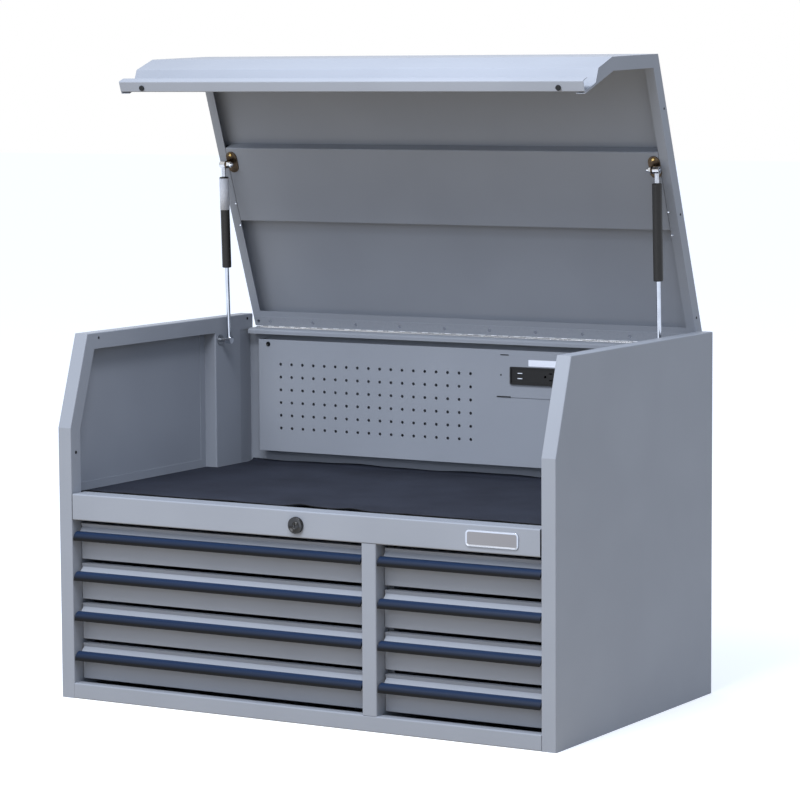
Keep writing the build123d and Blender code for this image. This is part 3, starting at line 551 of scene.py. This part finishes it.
# Each black disc is painted shade for an open hole in the wall.
lid_hole_shade_shape = bmesh.new()
for sign in (-1, 1):
    for y, z in LID_HOLE_SHADES:
        place = lid_facing((sign * LID_WALL_X, y, z), (sign, 0, 0), (0, 0, 1))
        add_head(lid_hole_shade_shape, place, radius=2.4 * MM, height=0.4 * MM, recess=0.3)
make_piece("lid_side_hole_shades", lid_hole_shade_shape, rubber_and_shade_black, "lid")

# %% Rivets in the lid's side flanges
LID_FLANGE_X = 472.3
LID_FLANGE_Z = 650.1
STIFFENER_EDGES = (45, 90.5)
lid_rivet_shape = bmesh.new()
for sign in (-1, 1):
    for y in STIFFENER_EDGES:
        place = lid_facing((sign * LID_FLANGE_X, y, LID_FLANGE_Z), (0, 0, -1), (0, -1, 0))
        add_head(lid_rivet_shape, place, radius=2.2 * MM, height=1.2 * MM, recess=0.3)
make_piece("lid_flange_rivets", lid_rivet_shape, bright_plate, "lid")

# %% [markdown]
# ## Turned faces on the lock
# The lock's face is dished round a domed barrel, which is why the photograph shows one
# highlight high on the barrel and another low in the dish. bmesh.ops.spin turns the
# dish from its profile, whose points are (radius, height) in millimetres. The barrel's
# dome changes from a round edge to the outline of the key slot. Bridging the two would
# give flat facets, so it is built as rings that rise with the dome, and the slot stays
# open in it.

# %% Dish and dome
DISH_PROFILE = (
    (6.4, 0.0), (6.4, 0.12), (7.6, 0.22), (9.0, 0.52), (10.4, 0.95), (11.8, 1.5),
    (12.8, 1.95), (13.5, 2.15), (14.2, 2.05), (14.6, 1.7), (14.8, 1.1), (14.8, 0.0),
)
BARREL_RADIUS = 6.0
BARREL_CROWN = 2.2
SLOT_HALF = (0.8, 4.0)
TURN_STEPS = 64
DOME_RINGS = 8
TINY = 1e-9


def slot_reach(angle):
    """How far the key slot's outline is from the lock's axis at an angle."""
    across = abs(cos(angle)) or TINY
    along = abs(sin(angle)) or TINY
    return min(SLOT_HALF[0] / across, SLOT_HALF[1] / along)


def dome_ring(shape, share):
    """One ring of the dome: share 0 is the slot's outline, share 1 the round edge."""
    ring = []
    for step in range(TURN_STEPS):
        angle = tau * step / TURN_STEPS
        reach = slot_reach(angle) * (1 - share) + BARREL_RADIUS * share
        height = BARREL_CROWN * (1 - (reach / BARREL_RADIUS) ** 2)
        corner = (reach * cos(angle), reach * sin(angle), height)
        ring.append(shape.verts.new(Vector(corner) * MM))
    return ring


def join_rings(shape, rings):
    """Quads between each ring and the next."""
    for inner, outer in zip(rings, rings[1:]):
        for step in range(TURN_STEPS):
            after = (step + 1) % TURN_STEPS
            shape.faces.new((inner[step], inner[after], outer[after], outer[step]))


dish = bmesh.new()
corners = [dish.verts.new((radius * MM, 0, height * MM)) for radius, height in DISH_PROFILE]
rim_edges = [dish.edges.new(pair) for pair in zip(corners, corners[1:] + corners[:1])]
bmesh.ops.spin(dish, geom=corners + rim_edges, cent=(0, 0, 0), axis=(0, 0, 1), angle=tau,
               steps=TURN_STEPS, use_merge=True)
lock_face = facing((lock_centre.x, lock_low.y, lock_centre.z), (0, -1, 0))
bmesh.ops.transform(dish, verts=dish.verts, matrix=lock_face)
make_piece("lock_dish", dish, lock_gloss, "chest", smooth=True)

dome = bmesh.new()
surface = [dome_ring(dome, share / DOME_RINGS) for share in range(DOME_RINGS + 1)]
join_rings(dome, surface)
slot_foot = [dome.verts.new((corner.co.x, corner.co.y, 0)) for corner in surface[0]]
join_rings(dome, [slot_foot, surface[0]])
bmesh.ops.transform(dome, verts=dome.verts, matrix=lock_face)
make_piece("lock_barrel_dome", dome, lock_core, "lock_plug", smooth=True)
print("dished lock face at", [round(value, 4) for value in lock_face.translation])

# %% [markdown]
# ## A plain badge plate
# A small plate with a bright rim and a plain grey field sits at the right of the front
# beam. It is made from one grid face: its corners are bevelled round, it is extruded to
# a thickness, and its rim is bevelled. The top face is then inset and sunk for the
# field. The same helper makes labels and brackets, so its sizes are in millimetres.


# %% Helper for a rounded plate
CORNER_SEGMENTS = 6
RIM_SEGMENTS = 3
FIELD_DEPTH = 0.3


def rounded_plate(size, corner, rim, field=0.0):
    """A flat plate with round corners, a soft rim and a sunk field, facing +Z, in mm."""
    length, height, thickness = (value * MM for value in size)
    shape = bmesh.new()
    bmesh.ops.create_grid(shape, x_segments=1, y_segments=1, size=0.5)
    bmesh.ops.scale(shape, verts=shape.verts, vec=(length, height, 1))
    bmesh.ops.bevel(shape, geom=shape.verts[:], offset=corner * MM, segments=CORNER_SEGMENTS,
                    profile=0.5, affect="VERTICES", material=-1)
    bottom = shape.faces[:]
    extruded = bmesh.ops.extrude_face_region(shape, geom=bottom)
    raised = [item for item in extruded["geom"] if isinstance(item, bmesh.types.BMVert)]
    bmesh.ops.translate(shape, verts=raised, vec=(0, 0, thickness))
    top = next(item for item in extruded["geom"] if isinstance(item, bmesh.types.BMFace))
    bmesh.ops.bevel(shape, geom=list(top.edges), offset=rim * MM, segments=RIM_SEGMENTS,
                    profile=0.5, affect="EDGES", material=-1)
    top = max(shape.faces, key=lambda face: face.calc_center_median().z / MM + face.calc_area())
    if field:
        bmesh.ops.inset_region(shape, faces=[top], thickness=field * MM)
        bmesh.ops.translate(shape, verts=top.verts, vec=(0, 0, -thickness * FIELD_DEPTH))
    return shape


# %% Badge plate on the beam
BADGE_SIZE = (104, 29, 2.2)
BADGE_X = 397 * MM
BADGE_Z = 359.5 * MM
badge = rounded_plate(BADGE_SIZE, corner=7, rim=0.7, field=2.6)
badge_place = facing((BADGE_X, beam_low.y, BADGE_Z), (0, -1, 0))
bmesh.ops.transform(badge, verts=badge.verts, matrix=badge_place)
badge_piece = make_piece("badge_plate", badge, brushed, "chest")
badge_piece.data.materials.append(badge_field)
front_faces = [face for face in badge_piece.data.polygons if face.center.y < beam_low.y - MM]
max(front_faces, key=lambda face: face.area).material_index = 1

# %% [markdown]
# ## Upper ends of the struts
# Each strut ends in a socket on a stud. The stud sits in a rounded lug that stands on
# an oval bronze plate under the stiffener, with one screw through the plate's upper
# end and a domed nut on the stud. These pieces stand for the model's plain bracket.


# %% Helper that joins a plate to a bmesh
def join_plate(shape, size, corner, rim, place):
    """Add a rounded plate, in millimetres, to a bmesh."""
    plate = rounded_plate(size, corner, rim)
    bmesh.ops.transform(plate, verts=plate.verts, matrix=place)
    carrier = bpy.data.meshes.new("carrier")
    plate.to_mesh(carrier)
    plate.free()
    shape.from_mesh(carrier)
    bpy.data.meshes.remove(carrier)


# %% Oval plates and lugs, placed on the shut lid in mm
BRACKET_X = 459.0
BRACKET_Y = -43.0
BRACKET_SIZE = (24, 43, 2)
PIVOT_Y = -43.7
PIVOT_Z = 634.0
LUG_INNER_X = 462.7
LUG_FOOT_Z = PIVOT_Z - 7
LUG_SIZE = (14, LID_FLANGE_Z - LUG_FOOT_Z, 3)
bracket_shape = bmesh.new()
for sign in (-1, 1):
    down = lid_facing((sign * BRACKET_X, BRACKET_Y, LID_FLANGE_Z), (0, 0, -1), (0, -1, 0))
    join_plate(bracket_shape, BRACKET_SIZE, corner=11.9, rim=0.5, place=down)
    lug_place = (sign * LUG_INNER_X, PIVOT_Y, (LID_FLANGE_Z + LUG_FOOT_Z) / 2)
    inward = lid_facing(lug_place, (-sign, 0, 0), (0, 0, 1))
    join_plate(bracket_shape, LUG_SIZE, corner=6.9, rim=0.4, place=inward)
bracket_plates = make_piece("strut_bracket_plates", bracket_shape, bronze, "lid")
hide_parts("strut_upper_brackets")

# %% Nuts on the studs, and the plates' screws
NUT_X = LUG_INNER_X - LUG_SIZE[2]
STUD_FOOT_X = LUG_INNER_X - 1
PLATE_SCREW_Y = BRACKET_Y - 16
PLATE_SCREW_Z = LID_FLANGE_Z - BRACKET_SIZE[2]
NUT_DOME = Matrix.Translation((0, 0, 4.6 * MM)) @ Matrix.Diagonal((1, 1, 1.35, 1))
nut_shape = bmesh.new()
screw_shape = bmesh.new()
for sign in (-1, 1):
    nut = lid_facing((sign * NUT_X, PIVOT_Y, PIVOT_Z), (-sign, 0, 0), (0, 0, 1))
    add_head(nut_shape, nut, radius=7 * MM, height=5 * MM, recess=0.25, sides=6)
    bmesh.ops.create_uvsphere(nut_shape, u_segments=20, v_segments=12, radius=5.2 * MM,
                              matrix=nut @ NUT_DOME)
    stud = lid_facing((sign * STUD_FOOT_X, PIVOT_Y, PIVOT_Z), (sign, 0, 0), (0, 0, 1))
    add_head(nut_shape, stud, radius=3.9 * MM, height=14.2 * MM, recess=0.3)
    plate_screw = lid_facing((sign * BRACKET_X, PLATE_SCREW_Y, PLATE_SCREW_Z), (0, 0, -1), (0, -1, 0))
    add_head(screw_shape, plate_screw, radius=3.6 * MM, height=2.0 * MM, recess=0.4)
make_piece("strut_bracket_nuts", nut_shape, bright_plate, "lid")
make_piece("strut_bracket_screws", screw_shape, brass, "lid")

# %% [markdown]
# ## Paper labels
# One white paper label sits over the power strip and one silver label wraps the left
# strut. Paper is matt and very slightly fibrous, so its noise is stretched upwards.


# %% Paper finishes
def paper(name, dark, light, roughness):
    """Matt label stock with a trace of fibre."""
    material, tree, shader = new_finish(name)
    fibre = object_noise(tree, 900.0, 4.0, stretch=(1, 1, 0.3))
    add_tone(tree, shader, fibre.outputs["Fac"], dark, light)
    shader.inputs["Roughness"].default_value = roughness
    add_bump(tree, shader, fibre.outputs["Fac"], strength=0.1, distance=0.00004)
    return material


label_white = paper("label_white", srgb(236, 238, 246), srgb(243, 245, 251), 0.55)
label_silver = paper("label_silver", srgb(202, 203, 209), srgb(213, 214, 219), 0.45)

# %% Label over the power strip
POWER_LABEL_SIZE = (87, 12.2, 0.3)
POWER_LABEL_X = 195 * MM
POWER_LABEL_Z = 604.9 * MM
label = rounded_plate(POWER_LABEL_SIZE, corner=1, rim=0.1)
label_place = facing((POWER_LABEL_X, plate_low.y, POWER_LABEL_Z), (0, -1, 0))
bmesh.ops.transform(label, verts=label.verts, matrix=label_place)
make_piece("power_label", label, label_white, "chest")

# %% [markdown]
# ## Fittings and painted shade on the power strip
# Two sockets in the unit's left end have bright tongues, a little behind its face. The
# plate has a small dark screw beside them. Two black strips are painted shade, one for a
# narrow slit at its upper edge and one for a dark gap at its lower edge. All of them but
# the screw are narrow rounded plates.

# %% Tongues in the sockets
TONGUE_SIZE = (10.4, 1.8, 5)
TONGUE_X = 135 * MM
TONGUE_FOOT_Y = unit_low.y + TONGUE_SIZE[2] * MM + 0.3 * MM
tongues = bmesh.new()
for z in (585.1 * MM, 575.1 * MM):
    place = facing((TONGUE_X, TONGUE_FOOT_Y, z), (0, -1, 0))
    join_plate(tongues, TONGUE_SIZE, corner=0.4, rim=0.2, place=place)
make_piece("socket_tongues", tongues, bright_plate, "chest")

# %% Strips of painted shade, each (place across, height, length) in mm, and the plate's screw
SHADE_STRIPS = ((100, 618.8, 18), (98, 538.9, 30))
PLATE_SCREW = (92 * MM, plate_low.y, 580.2 * MM)
# The strips are painted shade for a slit and a gap at the plate's edges.
shade_strips_and_screw = bmesh.new()
for x, z, length in SHADE_STRIPS:
    place = facing((x * MM, plate_low.y, z * MM), (0, -1, 0))
    join_plate(shade_strips_and_screw, (length, 1.8, 0.8), corner=0.5, rim=0.2, place=place)
add_head(shade_strips_and_screw, facing(PLATE_SCREW, (0, -1, 0)), radius=1.8 * MM, height=0.5 * MM, recess=0.3)
make_piece("power_plate_shade_strips_and_screw", shade_strips_and_screw, rubber_and_shade_black, "chest")

# %% [markdown]
# ## The strut's label
# This label wraps the tube, so it is one edge spun about the strut's own axis, with a
# thickness given by a modifier. The axis runs from the pivot down along the tube.

# %% Label on the left strut
strut_axis = Vector(joint_named("strut_left_stroke")["axis"]).normalized()
if strut_axis.z < 0:
    strut_axis = -strut_axis
LABEL_TOP = 27 * MM
LABEL_LENGTH = 61.5 * MM
LABEL_RADIUS = 9.15 * MM
LABEL_THICKNESS = 0.2 * MM
sleeve = bmesh.new()
seam_side = strut_axis.orthogonal().normalized() * LABEL_RADIUS
upper = sleeve.verts.new(STRUT_PIVOT - strut_axis * LABEL_TOP + seam_side)
lower = sleeve.verts.new(STRUT_PIVOT - strut_axis * (LABEL_TOP + LABEL_LENGTH) + seam_side)
edge = sleeve.edges.new((upper, lower))
bmesh.ops.spin(sleeve, geom=[edge, upper, lower], cent=STRUT_PIVOT, axis=strut_axis,
               angle=radians(360), steps=32, use_merge=True)
strut_label = make_piece("strut_label", sleeve, label_silver, "strut_left_tube", smooth=True)
thickness = strut_label.modifiers.new("thickness", "SOLIDIFY")
thickness.thickness = LABEL_THICKNESS
thickness.offset = 1.0

# %% [markdown]
# ## The compartment's mat
# The mat is a sheet of ribbed non-slip foam that lies on the tray. Its front edge
# stands up a little behind the beam, in a slight wave with two humps, and its cut edge
# is coloured near-black as painted shade. Its back edge curls up against the back wall,
# and its back corners are cut out round the channels that carry the struts. It is a fine
# grid whose points are moved by short sums of waves, with a thickness from a modifier.
# All waves and humps are in millimetres, and all reaches are in from the sheet's edges.

# %% Mat finish
MAT_DARK = srgb(33, 36, 46)
MAT_LIGHT = srgb(48, 52, 64)
MAT_RIB = 3.2 * MM
BANDS_PER_SCALE = 0.314
RIB_SHADE = 0.45


def ribbed_foam(name):
    """Dark foam with two crossed sets of fine ribs, in Object coordinates."""
    material, tree, shader = new_finish(name)
    coordinates = tree.nodes.new("ShaderNodeTexCoord")
    heights = []
    for direction in ("X", "Y"):
        wave = tree.nodes.new("ShaderNodeTexWave")
        wave.bands_direction = direction
        wave.wave_profile = "SIN"
        wave.inputs["Scale"].default_value = BANDS_PER_SCALE / MAT_RIB
        wave.inputs["Distortion"].default_value = 0.6
        wave.inputs["Detail"].default_value = 1.0
        tree.links.new(coordinates.outputs["Object"], wave.inputs["Vector"])
        heights.append(wave.outputs["Fac"])
    ribs = tree.nodes.new("ShaderNodeMath")
    ribs.operation = "MULTIPLY"
    tree.links.new(heights[0], ribs.inputs[0])
    tree.links.new(heights[1], ribs.inputs[1])
    patches = object_noise(tree, 9.0, 3.0)
    shade = tree.nodes.new("ShaderNodeMath")
    shade.operation = "MULTIPLY_ADD"
    shade.inputs[1].default_value = RIB_SHADE
    tree.links.new(ribs.outputs["Value"], shade.inputs[0])
    tree.links.new(patches.outputs["Fac"], shade.inputs[2])
    tone = ramp_between(tree, shade.outputs["Value"], MAT_DARK, MAT_LIGHT, 0.3, 0.9)
    tree.links.new(tone.outputs["Color"], shader.inputs["Base Color"])
    shader.inputs["Roughness"].default_value = 0.85
    shader.inputs["Specular IOR Level"].default_value = 0.2
    add_bump(tree, shader, ribs.outputs["Value"], strength=0.6, distance=0.0008)
    return material


mat_foam = ribbed_foam("mat_foam")
# The near-black of the mat's cut edge is painted shade.
mat_edge_painted_shade = grained_black("mat_edge_painted_shade", srgb(9, 9, 10), srgb(14, 14, 15), 0.9, 500.0, 0.0001)

# %% The flat sheet with its corners cut out
MAT_FRONT = mat_low.y
MAT_UNDERSIDE = mat_low.z + 0.1 * MM
MAT_CELLS = (160, 90)
NOTCH_X = 489.3 * MM
NOTCH_Y = 172.1 * MM
mat_width = (mat_high.x - mat_low.x) - 2 * MM
mat_depth = mat_high.y - MAT_FRONT - 1 * MM
mat_middle = (0, MAT_FRONT + mat_depth / 2, MAT_UNDERSIDE)
mat_shape = bmesh.new()
bmesh.ops.create_grid(mat_shape, x_segments=MAT_CELLS[0], y_segments=MAT_CELLS[1], size=0.5)
bmesh.ops.scale(mat_shape, verts=mat_shape.verts, vec=(mat_width, mat_depth, 1))
bmesh.ops.translate(mat_shape, verts=mat_shape.verts, vec=mat_middle)
cell_x = mat_width / MAT_CELLS[0]
cell_y = mat_depth / MAT_CELLS[1]
for vert in mat_shape.verts:
    if abs(abs(vert.co.x) - NOTCH_X) <= cell_x / 2:
        vert.co.x = NOTCH_X if vert.co.x > 0 else -NOTCH_X
    if abs(vert.co.y - NOTCH_Y) <= cell_y / 2:
        vert.co.y = NOTCH_Y
corners = [
    face for face in mat_shape.faces
    if abs(face.calc_center_median().x) > NOTCH_X and face.calc_center_median().y > NOTCH_Y
]
bmesh.ops.delete(mat_shape, geom=corners, context="FACES")
print("mat sheet", round(mat_width / MM), "by", round(mat_depth / MM), "mm, cells", len(mat_shape.faces))

# %% Raise the front edge and curl the back edge
WAVE_TURN = 6.283
FRONT_REACH = 60 * MM
SIDE_REACH = 20 * MM
MAT_FLAT_END = mat_high.y - 20 * MM
FRONT_SETBACK = 2.5 * MM
FRONT_RISE = 4.2 * MM
BACK_RISE = 6.0 * MM
FRONT_SWAY = ((1.6, 260, 0.6), (0.8, 97, 2.0))
FRONT_RIPPLE = ((0.5, 190, 1.0), (0.2, 61, 0.2))
BACK_RIPPLE = ((1.4, 310, 0.4), (0.6, 120, 1.7))
FRONT_HUMPS = ((-22, 4.0, 20), (87, 3.0, 24))


def wavy(x, parts):
    """A short sum of sines, each (size in mm, length in mm, phase)."""
    return sum(
        size * MM * sin(x / (length * MM) * WAVE_TURN + phase)
        for size, length, phase in parts
    )


def humps(x):
    """Where the mat's front edge stands up, each (place, height, half width) in mm."""
    return sum(
        height * MM * exp(-(((x / MM) - place) / half) ** 2)
        for place, height, half in FRONT_HUMPS
    )


for vert in mat_shape.verts:
    x, y = vert.co.x, vert.co.y
    near_front = max(0.0, 1 - (y - MAT_FRONT) / FRONT_REACH)
    near_back = max(0.0, (y - MAT_FLAT_END) / (mat_high.y - MAT_FLAT_END))
    free = min(1.0, (mat_width / 2 - abs(x)) / SIDE_REACH)
    vert.co.y += near_front * free * (FRONT_SETBACK + wavy(x, FRONT_SWAY))
    lift = near_front**2 * (FRONT_RISE + wavy(x, FRONT_RIPPLE) + humps(x))
    lift += near_back**2 * (BACK_RISE + wavy(x, BACK_RIPPLE))
    vert.co.z += max(0.0, lift * free)

# %% Give the sheet its thickness and its place
MAT_THICKNESS = 1.6 * MM
mat_sheet = make_piece("compartment_mat_sheet", mat_shape, mat_foam, "chest", smooth=True)
mat_body = mat_sheet.modifiers.new("thickness", "SOLIDIFY")
mat_body.thickness = MAT_THICKNESS
mat_body.offset = 1.0
mat_sheet.data.materials.append(mat_edge_painted_shade)
# The sheet's rim, its cut edge, takes the near-black of painted shade.
mat_body.material_offset_rim = 1
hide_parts("compartment_mat")

# %% [markdown]
# ## The room
# The chest stands on a plain floor under an even, cool sky. The camera sees the sky
# as pure white, and so do the rays that metal mirrors. The soft light that falls on
# the chest is a separate, gentler level, so that the paint keeps the tone it was given.


# %% Sky
SKY_TINT = (0.75, 0.90, 1.18, 1)
SKY_LEVEL = 0.78


def seen_as_background(tree):
    """1 for rays from the camera or off metal and glass, 0 for rays that carry soft light."""
    path = tree.nodes.new("ShaderNodeLightPath")
    seen = path.outputs["Is Camera Ray"]
    for ray in ("Is Glossy Ray", "Is Transmission Ray"):
        either = tree.nodes.new("ShaderNodeMath")
        either.operation = "MAXIMUM"
        tree.links.new(seen, either.inputs[0])
        tree.links.new(path.outputs[ray], either.inputs[1])
        seen = either.outputs["Value"]
    return seen


world = bpy.data.worlds.new("white_sky")
world.use_nodes = True
sky_tree = world.node_tree
sky = sky_tree.nodes["Background"]
sky.inputs["Color"].default_value = SKY_TINT
sky.inputs["Strength"].default_value = SKY_LEVEL
white = sky_tree.nodes.new("ShaderNodeBackground")
white.inputs["Color"].default_value = (1, 1, 1, 1)
chooser = sky_tree.nodes.new("ShaderNodeMixShader")
sky_tree.links.new(seen_as_background(sky_tree), chooser.inputs["Fac"])
sky_tree.links.new(sky.outputs["Background"], chooser.inputs[1])
sky_tree.links.new(white.outputs["Background"], chooser.inputs[2])
sky_tree.links.new(chooser.outputs["Shader"], sky_tree.nodes["World Output"].inputs["Surface"])
bpy.context.scene.world = world

# %% [markdown]
# ## The floor
# To the camera, and in metal, the floor is a white that still takes the chest's soft
# shadow. The light that it throws back up is dimmer and a little warm, as from pale
# concrete. Both come from Light Path in the floor's own material.

# %% Floor
FLOOR_HALF_SIZE = 30.0
FLOOR_WARM = (0.56, 0.46, 0.33, 1)
FLOOR_SEEN = (0.8, 0.8, 0.8, 1)
FLOOR_GLOW = 0.5
floor_shape = bmesh.new()
bmesh.ops.create_grid(floor_shape, x_segments=1, y_segments=1, size=FLOOR_HALF_SIZE)
floor_mesh = bpy.data.meshes.new("studio_floor")
floor_shape.to_mesh(floor_mesh)
floor_shape.free()
studio_floor = bpy.data.objects.new("studio_floor", floor_mesh)
bpy.context.collection.objects.link(studio_floor)
floor_paint, floor_tree, floor_shader = new_finish("floor_pale")
floor_shader.inputs["Base Color"].default_value = FLOOR_WARM
floor_shader.inputs["Roughness"].default_value = 0.95
floor_shader.inputs["Specular IOR Level"].default_value = 0.0
floor_white = floor_tree.nodes.new("ShaderNodeBsdfDiffuse")
floor_white.inputs["Color"].default_value = FLOOR_SEEN
floor_glow = floor_tree.nodes.new("ShaderNodeEmission")
floor_glow.inputs["Strength"].default_value = FLOOR_GLOW
floor_sum = floor_tree.nodes.new("ShaderNodeAddShader")
floor_choice = floor_tree.nodes.new("ShaderNodeMixShader")
floor_tree.links.new(floor_white.outputs["BSDF"], floor_sum.inputs[0])
floor_tree.links.new(floor_glow.outputs["Emission"], floor_sum.inputs[1])
floor_tree.links.new(seen_as_background(floor_tree), floor_choice.inputs["Fac"])
floor_tree.links.new(floor_shader.outputs["BSDF"], floor_choice.inputs[1])
floor_tree.links.new(floor_sum.outputs["Shader"], floor_choice.inputs[2])
floor_tree.links.new(floor_choice.outputs["Shader"], floor_tree.nodes["Material Output"].inputs["Surface"])
floor_mesh.materials.append(floor_paint)
print("floor", studio_floor.name)

# %% [markdown]
# ## Three soft lamps
# The daylight comes from high above, a little in front and to the left. The lamp is
# wide, so its shadows are soft: faces that lean back are brightest, upright ones are
# darker, and the right side and the undersides are left to the sky and the floor. A
# weak lamp low in front lights the drawers' lips under the beam, and one over the open
# compartment opens up the left wall's inside.


# %% Lamps
def soft_lamp(name, place, aim, size, power, tint):
    """A square area lamp that points at aim."""
    data = bpy.data.lights.new(name, "AREA")
    data.shape = "SQUARE"
    data.size = size
    data.energy = power
    data.color = tint
    lamp = bpy.data.objects.new(name, data)
    lamp.location = place
    lamp.rotation_euler = (Vector(aim) - Vector(place)).to_track_quat("-Z", "Y").to_euler()
    bpy.context.collection.objects.link(lamp)
    print(name, "of", power, "W")


soft_lamp(
    "high_lamp", place=(-0.6, -3.2, 4.7), aim=(0, 0, 0.5),
    size=3.0, power=172.0, tint=(0.95, 0.99, 1.04),
)
soft_lamp(
    "front_lamp", place=(-0.3, -3.3, 1.55), aim=(0, 0, 0.3),
    size=1.2, power=13.0, tint=(0.95, 0.98, 1.05),
)
soft_lamp(
    "fill_lamp", place=(0.35, -1.0, 2.0), aim=(-0.4, 0.1, 0.55),
    size=0.6, power=15.0, tint=(0.88, 0.94, 1.07),
)

# %% [markdown]
# ## The camera
# The photograph was taken from the right of the front, a little above the drawers,
# with a long lens. The figures below were solved from the corners of the chest.

# %% Camera
AZIMUTH = radians(30.699)
ELEVATION = radians(5.854)
ROLL = radians(-0.336)
CAMERA_PLACE = Vector((3.119, -5.1986, 1.1743))
FOCAL_PIXELS = 3298.9
PHOTO_WIDTH = 800
SENSOR = 36.0


def camera_axes(azimuth, elevation, roll):
    """The camera's right, up and backward directions."""
    back = Vector((sin(azimuth) * cos(elevation), -cos(azimuth) * cos(elevation), sin(elevation)))
    right = Vector((cos(azimuth), sin(azimuth), 0))
    up = back.cross(right)
    turned_right = cos(roll) * right + sin(roll) * up
    turned_up = -sin(roll) * right + cos(roll) * up
    return turned_right, turned_up, back


camera_data = bpy.data.cameras.new("photo_camera")
camera_data.sensor_width = SENSOR
camera_data.lens = FOCAL_PIXELS / PHOTO_WIDTH * SENSOR
camera = bpy.data.objects.new("photo_camera", camera_data)
axes = Matrix(camera_axes(AZIMUTH, ELEVATION, ROLL)).transposed()
camera.matrix_world = Matrix.Translation(CAMERA_PLACE) @ axes.to_4x4()
bpy.context.collection.objects.link(camera)
bpy.context.scene.camera = camera
bpy.context.scene.view_settings.view_transform = "Standard"
print("lens", round(camera_data.lens, 2), "mm")
